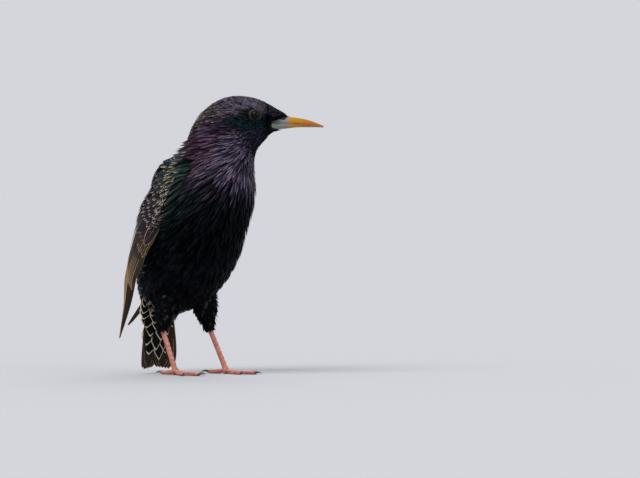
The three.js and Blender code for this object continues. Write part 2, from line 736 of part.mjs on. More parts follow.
// Builds the group of named meshes
const bird = new THREE.Group();
const materials = Object.fromEntries(
  Object.entries(COLOURS).map(([name, look]) => [name, new THREE.MeshStandardMaterial(look)]),
);

function add(name, made, look) {
  const mesh = made.getMesh();
  const positions = new Float32Array(mesh.numVert * 3);
  for (let i = 0; i < mesh.numVert; i += 1)
    for (let k = 0; k < 3; k += 1) positions[i * 3 + k] = mesh.vertProperties[i * mesh.numProp + k];
  const geometry = new THREE.BufferGeometry()
    .setAttribute("position", new THREE.BufferAttribute(positions, 3))
    .setIndex(new THREE.BufferAttribute(new Uint32Array(mesh.triVerts), 1));
  geometry.computeVertexNormals();
  const piece = new THREE.Mesh(geometry, materials[look]);
  piece.name = name;
  bird.add(piece);
}

add("torso", torsoSolid, "plumage");
add("neck", neckSolid, "plumage");
add("head", head(), "plumage");
add("bill_upper", billUpper(), "bill");
add("bill_lower", billLower(), "bill");
add("tail", tail(), "flight");
for (const [name, leg] of Object.entries(LEGS)) {
  add(`eye_${name}`, ball(EYE_RADIUS, eyeCentre(leg.side).toArray()), "eye");
  add(`wing_${name}`, wing(leg.side), "flight");
  add(`thigh_${name}`, thigh(leg), "plumage");
  add(`shank_${name}`, shank(leg), "skin");
  add(`foot_${name}`, foot(leg), "skin");
  for (const toe of TOES) add(`claw_${name}_${toe.name}`, claw(leg, toe), "claw");
}

// The origin is the middle of the bird's outline seen from above, on the floor.
const outline = new THREE.Box3().setFromObject(bird, true);
bird.position.set(-(outline.min.x + outline.max.x) / 2, -(outline.min.y + outline.max.y) / 2, 0);

export default bird;
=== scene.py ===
"""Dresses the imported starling: skin, feather coat, wings, tail, bill, eyes, legs and claws.

Sizes inside the classes are millimetres in the bird's own frame, where the trunk faces +X and +Z is up. They
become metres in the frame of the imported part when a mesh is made.
"""

from __future__ import annotations

import logging
import math
from dataclasses import dataclass, field
from enum import Enum
from functools import lru_cache

import bpy
import numpy as np
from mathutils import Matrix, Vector

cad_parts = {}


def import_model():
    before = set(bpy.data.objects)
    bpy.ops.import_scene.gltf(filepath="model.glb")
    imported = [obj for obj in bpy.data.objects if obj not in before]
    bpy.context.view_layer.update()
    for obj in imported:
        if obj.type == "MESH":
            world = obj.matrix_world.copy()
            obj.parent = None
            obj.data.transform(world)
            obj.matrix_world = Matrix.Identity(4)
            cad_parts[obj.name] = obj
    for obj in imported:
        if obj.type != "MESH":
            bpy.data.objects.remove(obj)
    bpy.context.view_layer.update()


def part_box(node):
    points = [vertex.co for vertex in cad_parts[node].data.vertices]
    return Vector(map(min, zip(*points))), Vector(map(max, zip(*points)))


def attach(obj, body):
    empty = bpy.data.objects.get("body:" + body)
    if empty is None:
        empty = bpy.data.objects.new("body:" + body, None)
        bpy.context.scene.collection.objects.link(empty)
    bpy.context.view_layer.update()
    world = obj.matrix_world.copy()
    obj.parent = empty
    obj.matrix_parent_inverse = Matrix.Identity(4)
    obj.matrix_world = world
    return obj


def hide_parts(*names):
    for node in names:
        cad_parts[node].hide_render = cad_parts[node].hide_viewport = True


LOG = logging.getLogger("starling")
MM = 0.001
# Degrees: the head's turn to the left, the trunk's lean forward, and the camera's turn about the bird.
HEAD_TURN = 42.0
TRUNK_LEAN = 23.0
VIEW_AZIMUTH = 42.0
# How far the head's middle plane lies to the right of the frame's middle, in millimetres.
HEAD_SIDE = 16.0
# The share of the spine's length that rounds off each end of the body.
CAP = 0.05
SIDES = ("right", "left")
UP = np.array([0.0, 0.0, 1.0])

Array = np.ndarray
Colour = tuple[float, float, float]


def unit(v: Array) -> Array:
    """Vectors scaled to length one along the last axis."""
    return v / np.maximum(np.linalg.norm(v, axis=-1, keepdims=True), 1e-9)


def smooth(low: float, high: float, x: Array) -> Array:
    """A soft step from 0 at low to 1 at high."""
    t = np.clip((np.asarray(x, float) - low) / (high - low), 0, 1)
    return t * t * (3 - 2 * t)


def blend(a: Array, b: Array, t: Array) -> Array:
    """The value at share t between a and b."""
    a, b = np.asarray(a, float), np.asarray(b, float)
    return a + (b - a) * t


def hump(x: Array, middle: float, spread: float) -> Array:
    """A soft hump, 1 at its middle."""
    return np.exp(-(((x - middle) / spread) ** 2))


def off_back(angle: Array) -> Array:
    """How far an angle about the spine lies from the back, whichever side it is on."""
    return np.abs(np.mod(angle + math.pi, 2 * math.pi) - math.pi)


def full_turn(count: int) -> Array:
    """Even angles round a full turn."""
    return np.arange(count) / count * 2 * math.pi


def grid(first: Array, second: Array) -> tuple[Array, Array]:
    """Every pair of two lists of values, as two flat arrays."""
    a, b = np.meshgrid(first, second, indexing="ij")
    return a.ravel(), b.ravel()


def level_way(degrees: float) -> Array:
    """The level unit direction at an angle from the trunk's facing, towards its left."""
    turn = math.radians(degrees)
    return np.array([math.cos(turn), math.sin(turn), 0.0])


def head_point(ahead: Array, left: Array, up: Array) -> Array:
    """Points given along the head's facing, to its left, and up.

    Args:
        ahead: distance along the way that the head faces.
        left: distance to the left of the head's middle plane.
        up: height over the floor.

    Returns:
        The points in the bird's frame.
    """
    ahead, left, up = np.broadcast_arrays(*(np.asarray(v, float) for v in (ahead, left, up)))
    facing, to_left = level_way(HEAD_TURN), level_way(HEAD_TURN + 90)
    return ahead[..., None] * facing + (left - HEAD_SIDE)[..., None] * to_left + up[..., None] * UP


class Curve:
    """A centripetal Catmull-Rom curve through points, read from a fine table."""

    def __init__(self, points: list, samples: int = 600) -> None:
        """Fills the table.

        Args:
            points: the places that the curve passes.
            samples: how many steps the table has.
        """
        p = [np.asarray(q, float) for q in points]
        p = [2 * p[0] - p[1], *p, 2 * p[-1] - p[-2]]
        spans = len(points) - 1
        self.shares = np.linspace(0, 1, samples)
        table = []
        for share in self.shares:
            i = min(int(share * spans), spans - 1)
            w = share * spans - i
            a, b, c, d = p[i : i + 4]
            d0, d1, d2 = (max(np.linalg.norm(v) ** 0.5, 1e-4) for v in (b - a, c - b, d - c))
            m1 = ((b - a) / d0 - (c - a) / (d0 + d1) + (c - b) / d1) * d1
            m2 = ((c - b) / d1 - (d - b) / (d1 + d2) + (d - c) / d2) * d1
            table.append(
                b + m1 * w + (-3 * b + 3 * c - 2 * m1 - m2) * w**2 + (2 * b - 2 * c + m1 + m2) * w**3
            )
        self.table = np.array(table)

    def at(self, share: Array) -> Array:
        """The places at shares of the curve."""
        return np.stack([np.interp(share, self.shares, self.table[:, k]) for k in range(3)], -1)

    def way(self, share: Array) -> Array:
        """The unit directions along the curve at shares."""
        share = np.clip(share, 0.002, 0.998)
        return unit(self.at(share + 0.002) - self.at(share - 0.002))


@dataclass(frozen=True)
class Mass:
    """A soft ellipsoid of the body, leaned forward and turned, that blends into those before it."""

    at: tuple[float, float, float]
    size: tuple[float, float, float]
    lean: float
    turn: float
    soft: float

    def distance(self, points: Array) -> Array:
        """About how far points lie outside the mass.

        Args:
            points: places in the bird's frame.

        Returns:
            The distances, less than 0 inside.
        """
        a, b = math.radians(self.turn), math.radians(self.lean)
        yaw = np.array([[math.cos(a), -math.sin(a), 0], [math.sin(a), math.cos(a), 0], [0, 0, 1]])
        tip = np.array([[math.cos(b), 0, math.sin(b)], [0, 1, 0], [-math.sin(b), 0, math.cos(b)]])
        q = (points - np.array(self.at)) @ (yaw @ tip)
        size = np.array(self.size)
        near = np.linalg.norm(q / size, axis=-1)
        slope = np.linalg.norm(q / size**2, axis=-1)
        return near * (near - 1) / np.maximum(slope, 1e-9)


def head_mass(ahead: float, up: float, size: tuple, lean: float, soft: float) -> Mass:
    """A mass on the head's middle plane."""
    return Mass(tuple(head_point(ahead, 0, up)), size, lean, HEAD_TURN, soft)


@dataclass
class BodyForm:
    """The bird's body as a distance field, with rings strung on a spine from the vent to the face."""

    masses: tuple[Mass, ...] = (
        Mass((4.8, 0, 81.1), (29.9, 26.5, 43.7), TRUNK_LEAN, 0, 0),
        Mass((17.6, 0, 104.2), (25.1, 25.1, 29.9), TRUNK_LEAN, 0, 8),
        Mass((-7, 0, 60.7), (20.9, 21.3, 24.7), 22, 0, 8),
        Mass((-22, 0, 45.5), (11, 13, 15), 4, 0, 10),
        Mass((-19, 0, 68), (11, 16, 26), 24, 0, 10),
        Mass((4.9, 0, 109.8), (19.4, 22.9, 17), 25, 0, 8),
        Mass((21.1, 2, 127.3), (20.2, 18.1, 18.9), 18, 10, 8),
        head_mass(21.3, 139.7, (19.4, 15, 17.7), 0, 7),
        head_mass(28, 147.8, (15.9, 12.6, 13.4), 6, 5),
        head_mass(39.6, 150, (11.4, 7.6, 8.2), 14, 6),
        head_mass(47, 151.2, (9.7, 3.4, 3.2), 14, 3),
        head_mass(34.2, 139.8, (12.1, 8.6, 7.6), -14, 6),
        head_mass(47.7, 142.3, (6.7, 2.8, 1.9), -4, 3),
    )
    spine_points: tuple = (
        (-18.5, 0, 43),
        (-14, 0, 53),
        (-6.5, 0, 67),
        (2, 0, 84),
        (11, 0, 104),
        (18, 1, 120),
        (23, 3, 132),
        tuple(head_point(27, 0, 141.5)),
        tuple(head_point(34, 0, 145.8)),
        tuple(head_point(41, 0, 147)),
        tuple(head_point(45.5, 0, 147)),
    )
    spine_turns: tuple[float, ...] = (0, 0, 0, 0, 0, 6, 20, 38, 42, 42, 42)
    coat_depth: tuple = ((-CAP, 0.25, 0.5, 0.66, 0.78, 0.93, 1 + CAP), (3.2, 3.6, 3.4, 2.4, 1.3, 0.7, 0.4))
    ray_steps: int = 34
    spine: Curve = field(init=False)

    def __post_init__(self) -> None:
        """Makes the spine's curve."""
        self.spine = Curve(list(self.spine_points))

    def depth(self, u: Array) -> Array:
        """How thick the coat is at a share of the spine."""
        return np.interp(u, *self.coat_depth)

    def distance(self, points: Array) -> Array:
        """How far points lie outside the body's coat, and less than 0 inside it.

        Args:
            points: places in the bird's frame.

        Returns:
            The distances.
        """
        whole = self.masses[0].distance(points)
        for mass in self.masses[1:]:
            d = mass.distance(points)
            h = np.maximum(mass.soft - np.abs(whole - d), 0) / mass.soft
            whole = np.minimum(whole, d) - h * h * mass.soft / 4
        return whole

    def outward(self, points: Array) -> Array:
        """The unit directions out of the body at points.

        Args:
            points: places in the bird's frame.

        Returns:
            One direction for each point.
        """
        step = 0.2
        parts = []
        for axis in np.eye(3) * step:
            parts.append(self.distance(points + axis) - self.distance(points - axis))
        return unit(np.stack(parts, -1))

    def frame(self, u: Array) -> tuple[Array, Array, Array, Array]:
        """The spine's place, way, left and back at shares of its length.

        Args:
            u: shares of the spine.

        Returns:
            Places, unit ways along the spine, and unit ways to its left and to the bird's back.
        """
        u = np.clip(u, 0, 1)
        at, way = self.spine.at(u), self.spine.way(u)
        turn = np.radians(np.interp(u, np.linspace(0, 1, len(self.spine_turns)), self.spine_turns))
        left = np.stack([-np.sin(turn), np.cos(turn), np.zeros_like(turn)], -1)
        left = unit(left - way * np.sum(left * way, -1, keepdims=True))
        return at, way, left, np.cross(way, left)

    def surface(self, u: Array, angle: Array, level: Array) -> Array:
        """Points on a shell of the body.

        Args:
            u: share of the spine, which may pass either end by CAP to round it off.
            angle: turn about the spine, 0 at the back and a quarter turn at the left.
            level: height of the shell over the coat's outside.

        Returns:
            The points where rays from the spine meet the shell.
        """
        at, way, left, back = self.frame(u)
        past = np.where(u > 1, (u - 1) / CAP, np.where(u < 0, u / CAP, 0.0))
        swing = past * math.pi / 2
        out = back * np.cos(angle)[..., None] + left * np.sin(angle)[..., None]
        ray = out * np.cos(swing)[..., None] + way * np.sin(swing)[..., None]
        t = np.full(np.shape(u), 1.0)
        for _ in range(self.ray_steps):
            t = np.maximum(t - (self.distance(at + ray * t[..., None]) - level) * 0.9, 0.05)
        return at + ray * t[..., None]

    def lift_off(self, points: Array, height: Array) -> Array:
        """Points moved out until they are at least so high over the body.

        Args:
            points: places in the bird's frame.
            height: the least height of each over the coat's outside.

        Returns:
            The moved points.
        """
        for _ in range(4):
            short = np.maximum(height - self.distance(points), 0)
            points = points + self.outward(points) * short[..., None]
        return points


BODY = BodyForm()


class Region(Enum):
    """Parts of the coat that are pieces of their own, as a range of the spine's share."""

    HEAD = (0.74, 1 + CAP * 0.9)
    NECK = (0.56, 0.74)
    BREAST = (0.34, 0.56)
    BELLY = (-CAP * 0.9, 0.34)


@dataclass(frozen=True)
class Plumage:
    """The colours of the coat by place, in linear light, and where they start along the spine; the crown holds
    painted sheen and the belly painted shade.
    """

    # Black plumage, set darker still so that the underside also holds painted shade.
    black: Colour = (0.0016, 0.002, 0.0026)
    # The crown's purple gloss, made lighter by painted sheen of the sky over the head.
    crown: Colour = (0.09, 0.075, 0.102)
    cheek: Colour = (0.007, 0.016, 0.019)
    throat: Colour = (0.02, 0.019, 0.034)
    purple: Colour = (0.086, 0.048, 0.088)
    wine: Colour = (0.1, 0.052, 0.072)
    nape: Colour = (0.06, 0.052, 0.05)
    mauve: Colour = (0.112, 0.088, 0.136)
    green: Colour = (0.034, 0.076, 0.06)
    teal: Colour = (0.026, 0.05, 0.056)
    blue: Colour = (0.009, 0.013, 0.021)
    mantle: Colour = (0.03, 0.026, 0.034)
    breast_from: tuple[float, float] = (0.34, 0.48)
    neck_from: tuple[float, float] = (0.5, 0.61)
    head_from: tuple[float, float] = (0.7, 0.8)
    face_from: tuple[float, float] = (0.95, 1.0)

    @classmethod
    def tint(cls, u: Array, angle: Array) -> Array:
        """The coat's colour at shares of the spine and angles about it.

        Args:
            u: share of the spine.
            angle: turn about the spine, 0 at the back.

        Returns:
            Linear colours.
        """
        u, turn = np.asarray(u)[..., None], off_back(angle)[..., None]
        front = smooth(1.0, 2.6, turn)
        side, low_side, ear = hump(turn, 1.45, 0.55), hump(turn, 1.85, 0.42), hump(turn, 1.4, 0.35)
        low = blend(cls.mantle, cls.blue, smooth(0.7, 1.4, turn))
        # Towards the belly the coat goes to black: partly its own black, partly painted shade underneath.
        low = blend(low, cls.black, smooth(1.2, 1.9, turn) * 0.85)
        chest = blend(blend(cls.teal, cls.green, side), np.array(cls.black) * 3, front)
        neck = blend(cls.nape, cls.purple, smooth(0.6, 1.25, turn))
        neck = blend(neck, cls.mauve, smooth(1.6, 2.3, turn))
        neck = blend(neck, cls.wine, low_side * smooth(0.68, 0.58, u) * 0.85)
        # The top of the head takes the crown's colour with its painted sheen, and its sides the cheek's.
        head = blend(cls.crown, cls.cheek, smooth(0.9, 1.35, turn))
        head = blend(head, cls.throat, smooth(1.9, 2.5, turn))
        neck_share = smooth(*cls.neck_from, u + 0.02 * front - 0.02 * side + 0.05 * low_side)
        colour = blend(low, chest, smooth(*cls.breast_from, u + 0.03 * side))
        colour = blend(colour, neck, neck_share)
        colour = blend(colour, head, smooth(*cls.head_from, u + 0.05 * ear))
        return blend(colour, cls.black, smooth(*cls.face_from, u) * 0.75)


@dataclass
class VaneForm:
    """The outline and build of one kind of feather."""

    stations: int
    columns: int
    widest: float
    taper: float
    camber: float = 0.12
    thick: float = 0.12
    skew: float = 0.0

    def half(self, t: Array) -> Array:
        """The half width at shares of the length, as a share of the widest half width.

        Args:
            t: shares of the length, from the root.

        Returns:
            The half widths.
        """
        rise = (0.25 + 0.75 * np.clip(t / self.widest, 0, 1)) ** 0.7
        fall = np.clip((t - self.widest) / (1 - self.widest), 0, 1)
        return rise * np.maximum(1 - fall**self.taper, 0.0) ** (0.5 if self.taper > 1.9 else 0.85)


@dataclass
class Vanes:
    """Many feathers gathered as arrays, to become one closed-form mesh."""

    form: VaneForm
    points: list = field(default_factory=list)
    uvs: list = field(default_factory=list)
    bakes: list = field(default_factory=list)
    tints: list = field(default_factory=list)
    rims: list = field(default_factory=list)
    fringes: list = field(default_factory=list)

    def add(
        self,
        at: Array,
        across: Array,
        up: Array,
        width: Array,
        tint: Array,
        bake: Array,
        fringe: Array,
        patch: float | tuple[float, float] = 0.003,
    ) -> None:
        """Adds feathers that share the form.

        Args:
            at: places along each shaft, feathers by stations by 3.
            across: unit directions across each vane.
            up: unit directions out of each vane's upper face.
            width: widest width of each feather.
            tint: linear colour of each feather.
            bake: where each feather's patch is centred on the baked map.
            fringe: width of each feather's pale fringe.
            patch: the size of a feather's patch on the baked map, or its width and height.
        """
        form = self.form
        n, s, c = at.shape[0], form.stations, form.columns
        t = np.linspace(0, 1, s)
        x = np.linspace(-1, 1, c)
        half = form.half(t)[None, :] * (width[:, None] / 2)
        half = np.maximum(half, 0.02)
        offset = x + form.skew * (1 - x * x)
        flat = at[:, :, None] + across[:, :, None] * (half[:, :, None] * offset)[..., None]
        fall = half[:, :, None] * (np.abs(x) ** 1.5 * form.camber)
        top = flat - up[:, :, None] * fall[..., None]
        gap = form.thick * (1 - x[1:-1] ** 2) * (1 - 0.6 * t[:, None])
        bottom = top[:, :, 1:-1] - up[:, :, None] * gap[None, ..., None]
        ring = np.concatenate([top, bottom[:, :, ::-1]], 2)
        ring_x = np.concatenate([x, x[1:-1][::-1]])
        uv = np.empty((n, s, len(ring_x), 2))
        uv[..., 0] = ring_x / 2 + 0.5
        uv[..., 1] = t[None, :, None]
        size = np.broadcast_to(np.asarray(patch, float), (n, 2))
        length = np.linalg.norm(at[:, -1] - at[:, 0], axis=-1)
        rim = half[:, :, None] * (1 - np.abs(ring_x))
        rim = np.minimum(rim, (1 - t)[None, :, None] * length[:, None, None] * 0.6 + 0.02)
        self.points.append(ring.reshape(n, -1, 3))
        self.uvs.append(uv.reshape(n, -1, 2))
        self.bakes.append((bake[:, None, None] + (uv - 0.5) * size[:, None, None]).reshape(n, -1, 2))
        self.tints.append(np.repeat(tint[:, None], s * len(ring_x), 1))
        self.rims.append(rim.reshape(n, -1))
        self.fringes.append(np.repeat(np.broadcast_to(fringe, (n,))[:, None], s * len(ring_x), 1))

    def triangles(self) -> Array:
        """The corners of one feather's triangles.

        Returns:
            The triangles, wound to face outward.
        """
        n = 2 * self.form.columns - 2
        faces = []
        for i in range(self.form.stations - 1):
            for k in range(n):
                a, b = i * n + k, i * n + (k + 1) % n
                faces += [(a, b, b + n), (a, b + n, a + n)]
        end = (self.form.stations - 1) * n
        for k in range(1, n - 1):
            faces += [(0, k + 1, k), (end, end + k, end + k + 1)]
        return np.array(faces)

    def mesh(self, name: str, material: bpy.types.Material) -> bpy.types.Object:
        """Makes the gathered feathers into one object.

        Args:
            name: the object's name.
            material: the feathers' finish.

        Returns:
            The object, with its maps and colours.
        """
        points = np.concatenate(self.points)
        per = points.shape[1]
        tri = self.triangles()
        starts = np.arange(len(points)) * per
        faces = (tri[None] + starts[:, None, None]).reshape(-1, 3)
        flat = {
            "vane": np.concatenate(self.uvs).reshape(-1, 2),
            "OFBake": np.concatenate(self.bakes).reshape(-1, 2),
        }
        colours = {"tint": np.concatenate(self.tints).reshape(-1, 3)}
        values = {"rim": np.concatenate(self.rims).ravel(), "fringe": np.concatenate(self.fringes).ravel()}
        return make_mesh(name, points.reshape(-1, 3), faces, material, flat, colours, values)


@lru_cache(maxsize=1)
def frame_shift() -> Array:
    """Where the bird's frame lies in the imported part's, in millimetres, found by the right eye.

    Returns:
        The shift from the bird's frame to the part's.
    """
    low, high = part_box("eye_right")
    middle = (np.array(low) + np.array(high)) / 2 / MM
    return middle - head_point(Eyes.ahead, -Eyes.side, Eyes.up)


def make_mesh(
    name: str,
    points: Array,
    faces: Array,
    material: bpy.types.Material,
    maps: dict | None = None,
    colours: dict | None = None,
    values: dict | None = None,
) -> bpy.types.Object:
    """Makes an object from triangles or quads.

    Args:
        name: the object's name.
        points: corners in the bird's frame, in millimetres.
        faces: corners of each face, all of one count.
        material: the finish.
        maps: UV maps, as one pair for each corner.
        colours: colour attributes, as one colour for each corner.
        values: number attributes, as one for each corner.

    Returns:
        The object, linked to the scene.
    """
    mesh = bpy.data.meshes.new(name)
    count, sides = faces.shape
    mesh.vertices.add(len(points))
    mesh.vertices.foreach_set("co", ((points + frame_shift()) * MM).astype(np.float32).ravel())
    mesh.loops.add(count * sides)
    mesh.loops.foreach_set("vertex_index", faces.astype(np.int32).ravel())
    mesh.polygons.add(count)
    mesh.polygons.foreach_set("loop_start", np.arange(count, dtype=np.int32) * sides)
    mesh.polygons.foreach_set("loop_total", np.full(count, sides, np.int32))
    mesh.polygons.foreach_set("use_smooth", np.ones(count, bool))
    for key, pairs in (maps or {}).items():
        layer = mesh.uv_layers.new(name=key)
        layer.data.foreach_set("uv", pairs[faces.ravel()].astype(np.float32).ravel())
    for key, rgb in (colours or {}).items():
        layer = mesh.attributes.new(key, "FLOAT_COLOR", "POINT")
        rgba = np.concatenate([rgb, np.ones((len(rgb), 1))], 1)
        layer.data.foreach_set("color", rgba.astype(np.float32).ravel())
    for key, numbers in (values or {}).items():
        layer = mesh.attributes.new(key, "FLOAT", "POINT")
        layer.data.foreach_set("value", numbers.astype(np.float32))
    mesh.update()
    mesh.validate()
    mesh.materials.append(material)
    made = bpy.data.objects.new(name, mesh)
    bpy.context.scene.collection.objects.link(made)
    return made


def loft_faces(rings: int, around: int) -> Array:
    """Triangles over rings of equal count, with a pole corner before the first ring and after the last.

    Args:
        rings: how many rings there are.
        around: how many corners a ring has.

    Returns:
        The triangles' corners.
    """
    faces = []
    for r in range(rings - 1):
        for i in range(around):
            a, b = 1 + r * around + i, 1 + r * around + (i + 1) % around
            faces += [(a, b, b + around), (a, b + around, a + around)]
    last = 1 + rings * around
    for i in range(around):
        faces.append((0, 1 + (i + 1) % around, 1 + i))
        faces.append((last, last - around + i, last - around + (i + 1) % around))
    return np.array(faces)


def with_poles(rings: Array, around: int) -> Array:
    """Rings' corners, with a pole at the middle of the first ring and of the last."""
    return np.concatenate([rings[:around].mean(0)[None], rings, rings[-around:].mean(0)[None]])


def with_ends(values: Array) -> Array:
    """Values of rings' corners, with the first and the last repeated for the poles."""
    return np.concatenate([values[:1], values, values[-1:]])


def joined(parts: list[tuple[Array, Array]]) -> tuple[Array, Array]:
    """Separate bodies as one list of corners and one of faces.

    Args:
        parts: each body's corners and faces.

    Returns:
        All the corners and all the faces.
    """
    starts = np.cumsum([0] + [len(points) for points, _ in parts])
    faces = [tris + start for (_, tris), start in zip(parts, starts)]
    return np.concatenate([points for points, _ in parts]), np.concatenate(faces)


def tube(points: Array, radii: Array, sides: int) -> tuple[Array, Array]:
    """A closed round bar along points.

    Args:
        points: the bar's middle line.
        radii: its radius at each point.
        sides: how many corners a ring has.

    Returns:
        The corners and the triangles.
    """
    way = unit(np.gradient(points, axis=0))
    side = unit(np.cross(np.where(np.abs(way[:, 2:]) > 0.95, [0.0, 1.0, 0.0], UP), way))
    other = np.cross(way, side)
    angle = full_turn(sides)
    rings = points[:, None] + radii[:, None, None] * (
        side[:, None] * np.cos(angle)[None, :, None] + other[:, None] * np.sin(angle)[None, :, None]
    )
    corners = np.concatenate([points[:1], rings.reshape(-1, 3), points[-1:]])
    return corners, loft_faces(len(points), sides)


class Graph:
    """A node tree with short ways to add and join nodes."""

    def __init__(self, tree: bpy.types.NodeTree) -> None:
        """Keeps the tree."""
        self.tree = tree

    def node(self, kind: str, inputs: dict | None = None, **props: object) -> bpy.types.Node:
        """Adds a node.

        Args:
            kind: the node's type name.
            inputs: what goes into each socket, a socket or a plain value.
            **props: the node's own settings.

        Returns:
            The node.
        """
        made = self.tree.nodes.new(kind)
        for key, value in props.items():
            setattr(made, key, value)
        self.feed(made, inputs or {})
        return made

    def feed(self, node: bpy.types.Node, inputs: dict) -> None:
        """Fills a node's sockets.

        Args:
            node: the node.
            inputs: what goes into each socket, a socket or a plain value.
        """
        for key, value in inputs.items():
            if isinstance(value, bpy.types.NodeSocket):
                self.tree.links.new(value, node.inputs[key])
            else:
                node.inputs[key].default_value = value

    def math(self, operation: str, a: object, b: object = 0.0, clamp: bool = False) -> bpy.types.NodeSocket:
        """The result of a sum on two numbers or sockets."""
        return self.node("ShaderNodeMath", {0: a, 1: b}, operation=operation, use_clamp=clamp).outputs[0]

    def rest(self, value: object) -> bpy.types.NodeSocket:
        """What is left of one after a value."""
        return self.math("SUBTRACT", 1.0, value)

    def step(self, value: object, low: object, high: object) -> bpy.types.NodeSocket:
        """A soft step of a value, 0 at low and 1 at high."""
        kind = "ShaderNodeMapRange"
        return self.node(kind, {0: value, 1: low, 2: high}, interpolation_type="SMOOTHSTEP").outputs[0]

    def mix(self, factor: object, a: object, b: object, how: str = "MIX") -> bpy.types.NodeSocket:
        """Two colours mixed by a factor."""
        inputs = {0: factor, 6: a, 7: b}
        return self.node("ShaderNodeMix", inputs, data_type="RGBA", blend_type=how).outputs[2]

    def noise(self, scale: float, detail: float = 3.0, vector: object = None) -> bpy.types.NodeSocket:
        """Noise between 0 and 1 on object coordinates, or on a vector.

        Args:
            scale: the noise's scale.
            detail: how many finer layers it has.
            vector: the coordinates, or None for the object's own.

        Returns:
            The noise's socket.
        """
        if vector is None:
            vector = self.node("ShaderNodeTexCoord").outputs["Object"]
        inputs = {"Vector": vector, "Scale": scale, "Detail": detail}
        return self.node("ShaderNodeTexNoise", inputs).outputs["Fac"]

    def shaded(self, value: object) -> bpy.types.NodeSocket:
        """The piece's own tint, times a value."""
        shade = self.node("ShaderNodeCombineXYZ", {0: value, 1: value, 2: value}).outputs[0]
        return self.mix(1.0, self.attribute("tint", "Color"), shade, "MULTIPLY")

    def bump(self, height: object, strength: float, distance: float) -> bpy.types.NodeSocket:
        """A normal raised by a height."""
        inputs = {"Height": height, "Strength": strength, "Distance": distance}
        return self.node("ShaderNodeBump", inputs).outputs[0]

    def attribute(self, name: str, output: str = "Fac") -> bpy.types.NodeSocket:
        """A piece's own attribute."""
        return self.node("ShaderNodeAttribute", attribute_name=name).outputs[output]


def rgba(colour: Colour) -> tuple[float, float, float, float]:
    """A colour with full alpha."""
    return (*colour, 1.0)


def barb_group() -> bpy.types.NodeTree:
    """The node group that draws a vane's barbs, shaft and fringe from its own map.

    Returns:
        The group's tree.
    """
    name = "vane_barbs"
    if name in bpy.data.node_groups:
        return bpy.data.node_groups[name]
    tree = bpy.data.node_groups.new(name, "ShaderNodeTree")
    for key, default in (("Barbs", 40.0), ("Slant", 9.0), ("Fringe From", 0.3), ("Fringe To", 0.6)):
        tree.interface.new_socket(key, in_out="INPUT", socket_type="NodeSocketFloat").default_value = default
    for key in ("Stripe", "Shaft", "Fringe", "Along"):
        tree.interface.new_socket(key, in_out="OUTPUT", socket_type="NodeSocketFloat")
    g = Graph(tree)
    given = g.node("NodeGroupInput").outputs
    parts = g.node("ShaderNodeSeparateXYZ", {0: g.node("ShaderNodeUVMap", uv_map="vane").outputs[0]}).outputs
    off = g.math("ABSOLUTE", g.math("SUBTRACT", parts[0], 0.5))
    along = parts[1]
    slanted = g.math("MULTIPLY", off, given["Slant"])
    phase = g.math("SUBTRACT", g.math("MULTIPLY", along, given["Barbs"]), slanted)
    ripple = g.math("MULTIPLY", phase, 6.2832)
    stripe = g.math("ADD", g.math("MULTIPLY", g.math("SINE", ripple), 0.5), 0.5)
    shaft = g.rest(g.step(off, 0.015, 0.05))
    wide = g.attribute("fringe")
    inner = g.math("MULTIPLY", wide, 0.55)
    ragged = g.math("MULTIPLY", g.math("SUBTRACT", g.noise(900.0), 0.5), g.math("MULTIPLY", wide, 0.5))
    rim = g.math("ADD", g.attribute("rim"), ragged)
    fringe = g.rest(g.step(rim, inner, g.math("ADD", wide, 0.0005)))
    late = g.step(along, given["Fringe From"], given["Fringe To"])
    there = g.math("GREATER_THAN", wide, 0.01)
    mask = g.math("MULTIPLY", g.math("MULTIPLY", fringe, late), there)
    g.node("NodeGroupOutput", {"Stripe": stripe, "Shaft": shaft, "Fringe": mask, "Along": along})
    return tree


def new_material(name: str) -> tuple[bpy.types.Material, Graph, bpy.types.Node]:
    """Starts a material.

    Args:
        name: the material's name.

    Returns:
        The material, its graph and its shader.
    """
    material = bpy.data.materials.new(name)
    material.use_nodes = True
    return material, Graph(material.node_tree), material.node_tree.nodes["Principled BSDF"]


